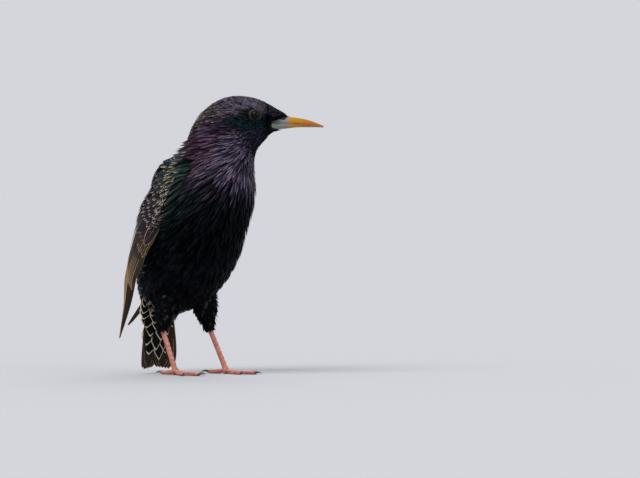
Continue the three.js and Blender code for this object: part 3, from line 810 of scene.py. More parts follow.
@dataclass(frozen=True)
class FeatherFinish:
    """Feather vanes: barbs, a shaft, a pale fringe, and a coloured gloss that grows towards the tip."""

    name: str
    fringe: Colour
    fringe_from: float = 0.3
    fringe_to: float = 0.6
    barbs: float = 26.0
    metallic: float = 0.62
    roughness: float = 0.36
    root_dark: float = 0.35
    shaft: Colour = (0.004, 0.003, 0.004)
    shaft_share: float = 0.6
    bump: float = 0.35
    specular: float = 0.05
    specular_tint: Colour = (0.35, 0.32, 0.4)

    def build(self) -> bpy.types.Material:
        """Makes the material.

        Returns:
            The material.
        """
        material, g, shader = new_material(self.name)
        inputs = {"Barbs": self.barbs, "Fringe From": self.fringe_from, "Fringe To": self.fringe_to}
        group = g.node("ShaderNodeGroup", inputs, node_tree=barb_group())
        stripe, shaft, fringe, along = (group.outputs[k] for k in ("Stripe", "Shaft", "Fringe", "Along"))
        deep = g.math("MULTIPLY", g.step(along, 0.2, 0.85), 1 - self.root_dark)
        deep = g.math("ADD", self.root_dark, deep)
        streak = g.math("SUBTRACT", 1.12, g.math("MULTIPLY", stripe, 0.24))
        cloud = g.math("ADD", 0.78, g.math("MULTIPLY", g.noise(260.0, 4.0), 0.44))
        colour = g.shaded(g.math("MULTIPLY", g.math("MULTIPLY", deep, streak), cloud))
        colour = g.mix(g.math("MULTIPLY", shaft, self.shaft_share), colour, rgba(self.shaft))
        rough = g.math("ADD", self.roughness, g.math("MULTIPLY", stripe, 0.14))
        height = g.math("ADD", g.math("MULTIPLY", stripe, 0.5), g.math("MULTIPLY", shaft, 1.2))
        sockets = {
            "Base Color": g.mix(fringe, colour, rgba(self.fringe)),
            "Metallic": g.math("MULTIPLY", g.rest(fringe), self.metallic),
            "Roughness": g.math("ADD", rough, g.math("MULTIPLY", fringe, 0.2), True),
            "Normal": g.bump(height, self.bump, 0.0002),
            "Specular IOR Level": self.specular,
            "Specular Tint": rgba(self.specular_tint),
        }
        g.feed(shader, sockets)
        return material


@dataclass(frozen=True)
class SkinFinish:
    """The dark down and skin that show between feathers, in the coat's own colours."""

    name: str = "down_under_coat"
    roughness: float = 0.8
    specular: float = 0.1

    def build(self) -> bpy.types.Material:
        """Makes the material.

        Returns:
            The material.
        """
        material, g, shader = new_material(self.name)
        sockets = {
            "Base Color": g.shaded(g.math("ADD", 0.2, g.math("MULTIPLY", g.noise(900.0, 5.0), 0.5))),
            "Normal": g.bump(g.noise(1400.0), 0.6, 0.0003),
            "Roughness": self.roughness,
            "Specular IOR Level": self.specular,
        }
        g.feed(shader, sockets)
        return material


@dataclass(frozen=True)
class HornFinish:
    """Horn of the bill: a tone along it, fine growth streaks, and painted shade along the mouth line, in the
    gape and in the nostril.
    """

    name: str
    base: Colour = (0.17, 0.19, 0.19)
    main: Colour = (0.4, 0.19, 0.002)
    ripe: Colour = (0.36, 0.115, 0.002)
    # Reddish brown, used both for painted shade along the mouth line and for the growth streaks.
    under: Colour = (0.3, 0.08, 0.006)
    tip: Colour = (0.12, 0.06, 0.02)
    # Painted shade for the corner of the mouth and for the nostril.
    dark: Colour = (0.02, 0.014, 0.012)
    streak_scale: tuple[float, float, float] = (60.0, 60.0, 900.0)
    specular: float = 0.28
    depth_share: float = 0.08
    depth: tuple[float, float, float] = (0.001, 0.0006, 0.0002)

    def build(self) -> bpy.types.Material:
        """Makes the material.

        Returns:
            The material.
        """
        material, g, shader = new_material(self.name)
        place = g.node("ShaderNodeTexCoord").outputs["Object"]
        stretched = g.node("ShaderNodeMapping", {"Vector": place, "Scale": self.streak_scale})
        streak = g.noise(1.0, 4.0, stretched.outputs[0])
        blotch = g.math("MULTIPLY", g.math("SUBTRACT", g.noise(350.0, 4.0), 0.5), 0.22)
        tone = g.math("ADD", g.attribute("tone"), blotch, True)
        mouth = g.attribute("mouth")
        # Painted shade along the mouth line where the halves meet, past the grey base.
        low = g.math("MULTIPLY", mouth, g.step(tone, 0.2, 0.5))
        # Painted shade in the corner of the mouth by the face.
        gape_shade = g.math("MULTIPLY", mouth, g.rest(g.step(tone, 0.02, 0.12)))
        colour = rgba(self.base)
        layers = (
            (g.step(tone, 0.2, 0.38), self.main),
            (g.step(tone, 0.45, 0.8), self.ripe),
            (g.step(tone, 0.88, 1.0), self.tip),
            (g.math("MULTIPLY", low, 0.85), self.under),
            (g.math("MULTIPLY", g.step(streak, 0.45, 0.75), 0.22), self.under),
            (g.math("MULTIPLY", gape_shade, 0.8), self.dark),
            (g.attribute("hole"), self.dark),
        )
        for share, layer in layers:
            colour = g.mix(share, colour, rgba(layer))
        sockets = {
            "Base Color": colour,
            "Roughness": g.math("ADD", 0.26, g.math("MULTIPLY", streak, 0.2)),
            "Normal": g.bump(streak, 0.18, 0.0003),
            "Specular IOR Level": self.specular,
            "Subsurface Weight": self.depth_share,
            "Subsurface Radius": self.depth,
        }
        g.feed(shader, sockets)
        return material


@dataclass(frozen=True)
class MottleFinish:
    """A mottled natural surface, such as scuted skin, a claw or an eyelid."""

    name: str
    low: Colour
    high: Colour
    roughness: float
    scale: float = 700.0
    bump: float = 0.4
    coat: float = 0.0
    coat_roughness: float = 0.12

    def build(self) -> bpy.types.Material:
        """Makes the material.

        Returns:
            The material.
        """
        material, g, shader = new_material(self.name)
        fine = g.noise(self.scale, 5.0)
        broad = g.noise(self.scale * 0.22, 3.0)
        colour = g.mix(g.step(broad, 0.32, 0.68), rgba(self.low), rgba(self.high))
        dim = tuple(c * 0.55 for c in self.low)
        sockets = {
            "Base Color": g.mix(g.math("MULTIPLY", g.step(fine, 0.5, 0.75), 0.5), colour, rgba(dim)),
            "Roughness": g.math("ADD", self.roughness - 0.06, g.math("MULTIPLY", fine, 0.14), True),
            "Normal": g.bump(fine, self.bump, 0.0002),
            "Coat Weight": self.coat,
            "Coat Roughness": self.coat_roughness,
        }
        g.feed(shader, sockets)
        return material


@dataclass(frozen=True)
class EyeFinish:
    """A dark wet eye: black pupil in a deep brown iris with a fine mottle."""

    name: str = "wet_dark_eye"
    pupil: Colour = (0.002, 0.002, 0.002)
    iris: Colour = (0.007, 0.004, 0.003)
    roughness: float = 0.05
    bending: float = 1.2

    def build(self) -> bpy.types.Material:
        """Makes the material.

        Returns:
            The material.
        """
        material, g, shader = new_material(self.name)
        mottle = g.math("MULTIPLY", g.math("SUBTRACT", g.noise(1500.0, 4.0), 0.5), 0.14)
        ring = g.math("ADD", g.attribute("off"), mottle)
        colour = g.mix(g.step(ring, 0.4, 0.5), rgba(self.pupil), rgba(self.iris))
        colour = g.mix(g.step(ring, 0.78, 0.95), colour, rgba(self.pupil))
        g.feed(shader, {"Base Color": colour, "Roughness": self.roughness, "IOR": self.bending})
        return material


# The feathers' pale fringes, and the wings' and tail's own colours.
BUFF: Colour = (0.5, 0.33, 0.17)
CREAM: Colour = (0.6, 0.52, 0.38)
PALE: Colour = (0.68, 0.58, 0.46)
OLIVE: Colour = (0.36, 0.31, 0.22)
BROWN: Colour = (0.03, 0.021, 0.016)
DUSK: Colour = (0.024, 0.017, 0.026)
SHEEN: Colour = (0.022, 0.026, 0.032)
SIDE: Colour = (0.032, 0.052, 0.047)


def coat_map(u: Array, angle: Array) -> Array:
    """Where places of the coat lie on the baked map, which unwraps it about the spine."""
    return np.stack([np.mod(angle / (2 * math.pi), 1.0), (u + CAP) / (1 + 2 * CAP)], -1) * 0.99 + 0.005


def vane_ways(at: Array, out: Array) -> tuple[Array, Array]:
    """The directions of vanes whose shafts and outward ways are known.

    Args:
        at: places along each shaft.
        out: one way outward for each feather.

    Returns:
        Unit directions across each vane, and out of its upper face.
    """
    way = unit(np.gradient(at, axis=1))
    across = unit(np.cross(way, out[:, None]))
    return across, unit(np.cross(across, way))


@dataclass
class Coat:
    """Small feathers of the body, rooted in rows on the skin and laid back along it."""

    rng: np.random.Generator
    lengths: tuple = (
        (-CAP, 0.15, 0.34, 0.5, 0.62, 0.7, 0.78, 0.9, 0.97, 1 + CAP),
        (11, 12, 13, 15, 14.5, 11, 6.0, 3.2, 2.0, 1.3),
    )
    widths: tuple = (
        (-CAP, 0.2, 0.34, 0.46, 0.56, 0.7, 0.8, 0.93, 1 + CAP),
        (4.6, 4.4, 3.6, 2.5, 2.0, 1.7, 1.3, 0.95, 0.7),
    )
    rows: tuple = ((-CAP, 0.3, 0.5, 0.66, 0.76, 0.9, 1 + CAP), (2.8, 2.6, 2.2, 1.8, 1.1, 0.74, 0.5))
    aside: tuple = ((-CAP, 0.3, 0.5, 0.66, 0.76, 0.9, 1 + CAP), (2.2, 1.9, 1.35, 1.1, 0.92, 0.72, 0.5))
    lore_edge: tuple[float, float, float] = (147.2, 48.4, 0.26)
    lore_reach: float = 56.2

    def roots(self, low: float, high: float) -> tuple[Array, Array]:
        """Root places in staggered rows between two shares of the spine.

        Args:
            low: the first share.
            high: the last share.

        Returns:
            Shares of the spine and angles about it.
        """
        length = np.linalg.norm(np.diff(BODY.spine.table, axis=0), axis=1).sum()
        shares, angles = [], []
        u, row = low, 0
        while u < high:
            turn = np.linspace(0, 2 * math.pi, 97)
            rim = BODY.surface(np.full(97, u), turn, np.full(97, -BODY.depth(u)))
            arc = np.concatenate([[0], np.cumsum(np.linalg.norm(np.diff(rim, axis=0), axis=1))])
            count = max(5, round(arc[-1] / float(np.interp(u, *self.aside))))
            spots = (np.arange(count) + 0.5 * (row % 2) + self.rng.uniform(-0.22, 0.22, count)) / count
            angles.append(np.interp(np.mod(spots, 1.0) * arc[-1], arc, turn))
            gap = float(np.interp(u, *self.rows))
            step = gap / length if 0 <= u <= 1 else gap / 14 * CAP * 1.3
            shares.append(np.full(count, u) + self.rng.uniform(-0.25, 0.25, count) * step)
            u += step
            row += 1
        return np.concatenate(shares), np.concatenate(angles)

    def lay(self, u: Array, angle: Array, stations: int, length: Array, ruffle: Array) -> tuple[Array, ...]:
        """Lays feathers along the body from their roots.

        Args:
            u: share of the spine at each root.
            angle: turn about the spine at each root.
            stations: how many places each feather has.
            length: length of each feather.
            ruffle: how far each tip stands off the coat's outside.

        Returns:
            Places, directions across and directions up, feathers by stations by 3.
        """
        depth = BODY.depth(u)
        place = BODY.surface(u, angle, -depth)
        _, way, left, back = BODY.frame(u)
        round_body = left * np.cos(angle)[:, None] - back * np.sin(angle)[:, None]
        turn = off_back(angle)
        sweep = np.interp(u, [0, 0.3, 0.46, 0.56, 0.7, 0.82, 0.95], [0.1, 0.2, 0.5, 0.85, 0.75, 0.3, 0.0])
        sweep = sweep * smooth(0.25, 1.0, turn) * smooth(math.pi, 2.3, turn)
        lie = -way - round_body * (sweep * np.sign(np.sin(angle)))[:, None]
        lie = lie + self.rng.normal(0, 0.07, lie.shape)
        centre = BODY.frame(np.full_like(u, 1.0))[0]
        nose = unit(place - centre)
        lie = unit(blend(lie, nose, smooth(0.97, 1.0, u)[:, None] * 0.85))
        at, across = [], []
        for i in range(stations):
            t = i / (stations - 1)
            out = BODY.outward(place)
            lie = unit(lie - out * np.sum(lie * out, -1, keepdims=True))
            level = -depth * (1 - t) ** 1.15 + ruffle * t**2
            place = place + out * (level - BODY.distance(place))[:, None]
            at.append(place)
            across.append(np.cross(lie, out))
            place = place + lie * (length / (stations - 1))[:, None]
        at, across = np.stack(at, 1), np.stack(across, 1)
        return at, across, unit(np.cross(across, unit(np.gradient(at, axis=1))))

    @staticmethod
    def clear(points: Array) -> Array:
        """Which roots lie clear of the eyes and of the bill.

        Args:
            points: the roots' places.

        Returns:
            Whether each is clear.
        """
        ahead, up = points @ level_way(HEAD_TURN), points[:, 2]
        left = np.abs(points @ level_way(HEAD_TURN + 90) + HEAD_SIDE)
        eye = (np.hypot(ahead - Eyes.ahead, up - Eyes.up) < Eyes.lid + 0.55) & (left > 4)
        ridge, keel = Bill.reach(ahead)
        bill = (ahead > 46.5) & (up < ridge + 0.2) & (up > keel - 0.2) & (left < 4.6)
        return ~(eye | bill)

    def lores(self, material: bpy.types.Material) -> bpy.types.Object:
        """Grows the short feathers that reach forward over the bill's base, down to a slanting line.

        Args:
            material: their finish.

        Returns:
            The lores' object.
        """
        form = VaneForm(5, 3, 0.4, 2.0, camber=0.2, thick=0.1)
        up, ahead = grid(np.arange(144.0, 153.5, 0.42), np.arange(45.0, self.lore_reach, 0.5))
        ahead = ahead + self.rng.uniform(-0.25, 0.25, len(ahead))
        up = up + self.rng.uniform(-0.2, 0.2, len(up))
        height, start, slope = self.lore_edge
        keep = (up > height + (ahead - start) * slope) & (up < Bill.reach(ahead)[0] - 0.05)
        keep &= ahead < self.lore_reach - 0.9 * np.abs(up - 149.6)
        ahead, up = np.tile(ahead[keep], 2), np.tile(up[keep], 2)
        side = np.repeat([-1.0, 1.0], len(ahead) // 2)
        count = len(ahead)
        length = self.rng.uniform(1.5, 2.2, count)
        at = []
        for t in np.linspace(0, 1, form.stations):
            place, out = Bill.flank(ahead + length * t, up - 0.12 * length * t, side)
            at.append(place + out * (0.12 + 0.42 * t))
        at = np.stack(at, 1)
        tint = np.array(Plumage.black) * 1.5 * self.rng.uniform(0.5, 1.6, (count, 1))
        bake = np.stack([0.5 + side * 0.02 * (152 - up) / 8, 0.955 + (ahead - 45) / 400], -1)
        vanes = Vanes(form)
        ways = vane_ways(at, Bill.flank(ahead, up, side)[1])
        vanes.add(at, *ways, np.full(count, 0.95), tint, bake, np.zeros(count))
        LOG.info("coat_lores: %d feathers", count)
        return vanes.mesh("coat_lores", material)

    def ruffle(self, u: Array, turn: Array) -> Array:
        """How far each feather's tip stands off the coat.

        Args:
            u: share of the spine at each root.
            turn: each root's turn from the back.

        Returns:
            The heights of the tips.
        """
        loose = np.interp(u, [0, 0.4, 0.7, 0.8, 1], [0.3, 0.5, 0.8, 0.3, 0.1])
        loose *= self.rng.uniform(0.0, 1.0, len(u)) ** 2
        loose *= 1 - 0.6 * smooth(1.2, 0.8, turn) - 0.6 * smooth(1.9, 2.3, turn)
        over_wing = smooth(0.4, 0.48, u) * smooth(0.66, 0.58, u)
        return loose + 3.6 * over_wing * smooth(0.85, 1.15, turn) * smooth(1.9, 1.5, turn)

    def fringes(self, u: Array, turn: Array) -> Array:
        """The width of each feather's pale fringe, and 0 where it has none.

        Args:
            u: share of the spine at each root.
            turn: each root's turn from the back.

        Returns:
            The widths.
        """
        mantle = 0.75 * (1 - smooth(0.7, 1.5, turn)) * smooth(0.6, 0.5, u)
        nape = 0.55 * smooth(1.25, 0.7, turn) * smooth(0.5, 0.6, u) * smooth(0.77, 0.68, u)
        shoulder = 0.35 * smooth(1.7, 1.3, turn) * smooth(0.44, 0.5, u) * smooth(0.64, 0.58, u)
        vent = 0.85 * smooth(0.13, 0.03, u) * smooth(0.9, 1.3, turn)
        fringed = self.rng.random(len(u)) < np.max([mantle, nape, shoulder, vent], axis=0)
        width = self.rng.uniform(0.3, 0.7, len(u)) * blend(1.0, 0.7, smooth(0.5, 0.6, u))
        return np.where(fringed, width, 0.0)

    def grow(self, region: Region, form: VaneForm, material: bpy.types.Material) -> bpy.types.Object:
        """Grows one region of the coat.

        Args:
            region: which part of the spine.
            form: the feathers' outline and build.
            material: their finish.

        Returns:
            The region's object.
        """
        u, angle = self.roots(*region.value)
        keep = self.clear(BODY.surface(u, angle, -BODY.depth(u)))
        u, angle = u[keep], angle[keep]
        count, turn = len(u), off_back(angle)
        back = 1 - smooth(0.7, 1.5, turn)
        length = np.interp(u, *self.lengths) * self.rng.uniform(0.88, 1.15, count)
        length *= blend(1.0, 0.72, back * smooth(0.66, 0.5, u))
        width = np.interp(u, *self.widths) * self.rng.uniform(0.85, 1.15, count)
        width *= blend(1.0, 1.35, back * smooth(0.62, 0.5, u))
        placed = self.lay(u, angle, form.stations, length, self.ruffle(u, turn))
        mood = self.rng.uniform(0, 1, (count, 1)) ** 1.4
        tint = Plumage.tint(u + self.rng.normal(0, 0.014, count), angle) * blend(0.3, 2.0, mood)
        tint = np.clip(tint * self.rng.uniform(0.85, 1.15, (count, 3)), 0, 1)
        vanes = Vanes(form)
        vanes.add(*placed, width, tint, coat_map(u, angle), self.fringes(u, turn))
        name = f"coat_{region.name.lower()}"
        LOG.info("%s: %d feathers", name, count)
        return vanes.mesh(name, material)


@dataclass
class Skin:
    """The one skin under the coat, from the vent to the face, with the thighs."""

    rings: int = 150
    around: int = 96

    def build(self, material: bpy.types.Material, legs: list[Leg]) -> bpy.types.Object:
        """Makes the skin.

        Args:
            material: its finish.
            legs: the legs, for their thighs.

        Returns:
            The skin's object.
        """
        shares = np.linspace(-CAP * 0.97, 1 + CAP * 0.97, self.rings)
        u, angle = grid(shares, full_turn(self.around))
        rings = BODY.surface(u, angle, -BODY.depth(u))
        parts = [(with_poles(rings, self.around), loft_faces(self.rings, self.around))]
        tints = [with_ends(Plumage.tint(u, angle))]
        maps = [[[0.5, 0.001]], coat_map(u, angle), [[0.5, 0.999]]]
        for leg in legs:
            corners, tris = leg.thigh_skin()
            parts.append((corners, tris))
            tints.append(np.tile(Plumage.black, (len(corners), 1)))
            maps.append(leg.thigh_map(corners))
        flat, tint = np.concatenate(maps), np.concatenate(tints)
        return make_mesh("skin", *joined(parts), material, {"OFBake": flat}, {"tint": tint})


@dataclass(frozen=True)
class Eyes:
    """The two eyes with their lids."""

    ahead: float = 38.3
    up: float = 150.0
    side: float = 8.0
    radius: float = 3.6
    lid: float = 3.15

    @classmethod
    def build(cls, finish: bpy.types.Material, lid: bpy.types.Material) -> dict:
        """Makes both eyes and both rings of lids.

        Args:
            finish: the eyeball's material.
            lid: the lid's material.

        Returns:
            The objects by name.
        """
        made = {}
        rings, around = 20, 32
        for name, sign in zip(SIDES, (-1, 1)):
            pp, tt = grid(np.linspace(0.02, math.pi - 0.02, rings), full_turn(around) * -sign)
            out = np.cos(pp) * (1 + 0.05 * smooth(0.75, 1.0, np.cos(pp)))
            local = np.stack([np.sin(pp) * np.cos(tt), out, np.sin(pp) * np.sin(tt)], -1) * cls.radius
            ball = head_point(cls.ahead + local[:, 0], sign * (cls.side + local[:, 1]), cls.up + local[:, 2])
            poles = head_point(cls.ahead, sign * (cls.side + np.array([1.05, -1.0]) * cls.radius), cls.up)
            points = np.concatenate([poles[:1], ball, poles[1:]])
            off = np.concatenate([[0], np.where(np.cos(pp) > 0, np.sin(pp), 1), [1]])
            ball_name, faces = f"eyeball_{name}", loft_faces(rings, around)
            made[f"eye_{name}"] = make_mesh(ball_name, points, faces, finish, values={"off": off})
            made[f"lids_{name}"] = cls.ring(name, sign, lid)
        return made

    @classmethod
    def ring(cls, name: str, sign: int, material: bpy.types.Material) -> bpy.types.Object:
        """Makes the two lids of one eye as a creased ring.

        Args:
            name: the side's name.
            sign: 1 on the head's left and -1 on its right.
            material: the lids' finish.

        Returns:
            The lids' object.
        """
        around, across = 56, 10
        a, b = grid(full_turn(around), full_turn(across))
        thick = 0.34 + 0.05 * np.sin(a * 22)
        wide = cls.lid + np.cos(b) * thick
        tall = np.where(np.sin(a) > 0, 0.93, 0.9)
        depth = math.sqrt(cls.radius**2 - cls.lid**2)
        out = cls.side + depth + 0.1 + np.sin(b) * thick * 0.8 - 0.25 * np.cos(a)
        points = head_point(cls.ahead + np.cos(a) * wide, sign * out, cls.up + np.sin(a) * wide * tall)
        faces = []
        for i in range(around):
            for k in range(across):
                p, q = i * across + k, i * across + (k + 1) % across
                r, s = ((i + 1) % around) * across + (k + 1) % across, ((i + 1) % around) * across + k
                faces.append((p, q, r, s) if sign < 0 else (p, s, r, q))
        return make_mesh(f"lids_{name}", points, np.array(faces), material)


@dataclass(frozen=True)
class Bill:
    """The bill's two halves, from its sections."""

    ahead: tuple[float, ...] = (44, 50, 56, 62, 67, 72, 75.6, 77.6)
    ridge: tuple[float, ...] = (151.2, 150.4, 149.4, 148.7, 147.7, 146.1, 144.6, 143.6)
    mouth: tuple[float, ...] = (146.2, 145.8, 145.3, 144.8, 144.4, 143.9, 143.5, 143.1)
    keel: tuple[float, ...] = (141.4, 141.7, 142.2, 142.9, 143.0, 143.0, 142.9, 142.8)
    half: tuple[float, ...] = (4.3, 3.9, 3.3, 2.7, 2.1, 1.4, 0.75, 0.25)
    nostril: tuple[float, float] = (54.3, 147.9)

    @classmethod
    def soft(cls, values: Array, at: Array) -> Array:
        """A section size read at any place along the bill, on a soft curve."""
        curve = Curve([(a, v, 0.0) for a, v in zip(cls.ahead, values)])
        return np.interp(at, curve.table[:, 0], curve.table[:, 1])

    @classmethod
    def reach(cls, at: Array) -> tuple[Array, Array]:
        """The ridge's and the keel's heights at places along the bill."""
        return np.interp(at, cls.ahead, cls.ridge), np.interp(at, cls.ahead, cls.keel)

    @classmethod
    def flank(cls, ahead: Array, up: Array, side: Array) -> tuple[Array, Array]:
        """Places on the upper half's flank, and the unit ways out of it.

        Args:
            ahead: how far along the bill.
            up: the height of each place.
            side: 1 on the head's left and -1 on its right.

        Returns:
            The places and the ways out.
        """
        ridge, edge, half = (np.interp(ahead, cls.ahead, v) for v in (cls.ridge, cls.mouth, cls.half))
        rise = np.clip((up - edge) / (ridge - edge), 0.02, 0.999) ** (1 / 0.72)
        wide = np.sqrt(1 - rise**2)
        place = head_point(ahead, side * half * wide**0.86, up)
        flat = head_point(0.0, side + HEAD_SIDE, 0.0) * wide[:, None]
        return place, unit(flat + rise[:, None] * UP)

    @classmethod
    def build(cls, upper: bool, material: bpy.types.Material) -> bpy.types.Object:
        """Makes one half of the bill.

        Args:
            upper: whether it is the upper half.
            material: its finish.

        Returns:
            The half's object.
        """
        sections, arch = 70, 26
        at = np.linspace(cls.ahead[0], cls.ahead[-1] - (0.0 if upper else 0.5), sections)
        crest = cls.soft(cls.ridge if upper else cls.keel, at)
        edge = cls.soft(cls.mouth, at) + (0.03 if upper else -0.05)
        half = cls.soft(cls.half, at) * (1.0 if upper else 0.9)
        turn = np.linspace(0, math.pi, arch)
        power = 0.72 if upper else 0.62
        tall = np.maximum(np.abs(crest - edge), 0.1)
        rise = tall[:, None] * np.sin(turn)[None] ** power
        left = half[:, None] * np.sign(np.cos(turn)) * np.abs(np.cos(turn)) ** 0.86
        inner = np.linspace(-1, 1, 7)[1:-1]
        floor_left = half[:, None] * inner * 0.8
        floor_rise = np.full((sections, 5), 0.18) * np.minimum(tall, 1)[:, None]
        lefts = np.concatenate([left, floor_left], 1)
        rises = np.concatenate([rise, floor_rise], 1)
        up = edge[:, None] + (rises if upper else -rises)
        ahead = np.repeat(at[:, None], lefts.shape[1], 1)
        hole = np.zeros_like(ahead)
        if upper:
            # The nostril: a shallow dent, whose hole value also paints shade into it.
            spot = np.hypot((ahead - cls.nostril[0]) / 1.9, (up - cls.nostril[1]) / 0.62)
            hole = (1 - smooth(0.55, 1.05, spot)) * (np.abs(lefts) > 1.0)
            groove = hump(ahead, 52.5, 4.5) * hump(up, 147.8, 1.0)
            lefts = lefts - np.sign(lefts) * (hole * 0.75 + groove * 0.3)
        around = lefts.shape[1]
        ring = head_point(ahead.ravel(), lefts.ravel(), up.ravel())
        points = with_poles(ring, around)
        faces = loft_faces(sections, around)
        if not upper:
            faces = faces[:, ::-1]
        tone = (ahead - 48.5) / 29.0 - 0.1 * (1 - rises / tall[:, None]) * smooth(60, 50, ahead)
        # Nearness to the mouth line, which the horn's finish darkens as painted shade.
        mouth = 1 - smooth(0.05, 0.5, rises / tall[:, None])
        ring_values = {"tone": tone, "mouth": mouth, "hole": hole}
        values = {key: with_ends(value.ravel()) for key, value in ring_values.items()}
        name = "horn_upper" if upper else "horn_lower"
        return make_mesh(name, points, faces, material, values=values)


class Kind(Enum):
    """Kinds of wing and tail feathers, and the fold that the wing's feathers root in."""

    FLIGHT = "flight"
    COVERT = "covert"
    SPOTTED = "spotted"
    SIDE = "side"
    UNDERTAIL = "undertail"
    FOLD = "fold"


@dataclass(frozen=True)
class Row:
    """A row of wing feathers, from its first feather to its last, each end given as down, over and height."""

    count: int
    width: float
    root: tuple[float, float, float]
    root_end: tuple[float, float, float]
    tip: tuple[float, float, float]
    tip_end: tuple[float, float, float]
    colour: Colour
    fringe: float


WING_ROWS: dict[Kind, tuple[Row, ...]] = {
    Kind.FLIGHT: (
        Row(9, 7.2, (0.2, 0.98, 0.5), (0.3, 0.6, 1.0), (1.035, 0.6, 0.7), (0.74, 0.3, 2.2), BROWN, 0.24),
        Row(9, 5.8, (0.22, 1.02, 0.8), (0.2, 0.25, 1.0), (0.74, 1.0, 1.5), (0.62, 0.25, 2.7), BROWN, 0.3),
        Row(4, 7.4, (0.16, 0.4, 1.0), (0.12, 0.15, 1.0), (0.62, 0.45, 2.9), (0.45, 0.1, 3.3), BROWN, 0.4),
    ),
    Kind.COVERT: (
        Row(9, 4.4, (0.12, 1.04, 0.5), (0.15, 0.7, 0.8), (0.46, 1.04, 1.4), (0.42, 0.7, 2.2), BROWN, 0.4),
        Row(12, 6.2, (0.12, 1.02, 0.7), (0.1, 0.14, 0.7), (0.37, 1.02, 2.3), (0.34, 0.14, 3.2), DUSK, 0.4),
    ),
    Kind.SPOTTED: (
        Row(12, 5.6, (0.07, 0.92, 0.3), (0.05, 0.12, 0.3), (0.26, 0.95, 2.5), (0.24, 0.12, 3.4), DUSK, 0.45),
        Row(12, 5.2, (0.03, 0.92, 0.3), (0.02, 0.1, 0.4), (0.2, 0.97, 2.6), (0.18, 0.1, 3.5), DUSK, 0.45),
        Row(12, 4.8, (0.0, 0.9, 0.3), (0.0, 0.1, 0.4), (0.15, 0.98, 2.6), (0.13, 0.1, 3.6), DUSK, 0.45),
        Row(12, 4.6, (-0.02, 0.9, 0.2), (-0.02, 0.08, 0.3), (0.11, 1.0, 2.6), (0.09, 0.08, 3.6), SHEEN, 0.42),
        Row(11, 4.4, (-0.03, 0.88, 0.1), (-0.03, 0.08, 0.2), (0.07, 1.0, 2.5), (0.05, 0.08, 3.5), SHEEN, 0.4),
        Row(11, 4.2, (-0.04, 0.86, 0.1), (-0.04, 0.06, 0.2), (0.03, 1.0, 2.2), (0.01, 0.06, 3.2), SHEEN, 0.4),
        Row(9, 6.5, (-0.02, 0.12, 1.0), (0.2, -0.14, 1.0), (0.2, 0.26, 4.3), (0.42, -0.04, 3.6), DUSK, 0.5),
        Row(9, 6.2, (-0.05, 0.1, 0.8), (0.12, -0.2, 1.0), (0.13, 0.3, 4.3), (0.34, -0.1, 3.6), DUSK, 0.5),
        Row(9, 6.0, (-0.08, 0.1, 0.6), (0.04, -0.25, 1.0), (0.06, 0.34, 4.2), (0.26, -0.16, 3.4), DUSK, 0.5),
    ),
    Kind.SIDE: (
        Row(15, 3.2, (-0.1, 1.34, -1.5), (0.14, 1.34, -1.5), (-0.01, 0.94, 2.8), (0.27, 1, 2), SIDE, 0.42),
        Row(15, 3.2, (-0.11, 1.24, -1.2), (0.1, 1.24, -1.2), (-0.01, 0.82, 3.4), (0.21, 0.94, 2.6), SIDE, 0.42),
        Row(13, 3.2, (-0.12, 1.14, -0.8), (0.05, 1.14, -0.8), (-0.02, 0.68, 3.9), (0.15, 0.86, 3.2), SIDE, 0.42),
    ),
}
WING_FORMS: dict[Kind, VaneForm] = {
    Kind.FLIGHT: VaneForm(26, 9, 0.3, 1.9, camber=0.1, thick=0.22, skew=-0.3),
    Kind.COVERT: VaneForm(16, 7, 0.45, 2.6, camber=0.14, thick=0.2),
    Kind.SPOTTED: VaneForm(12, 7, 0.5, 2.3, camber=0.18, thick=0.18),
    Kind.SIDE: VaneForm(12, 5, 0.4, 1.6, camber=0.25, thick=0.16),
}


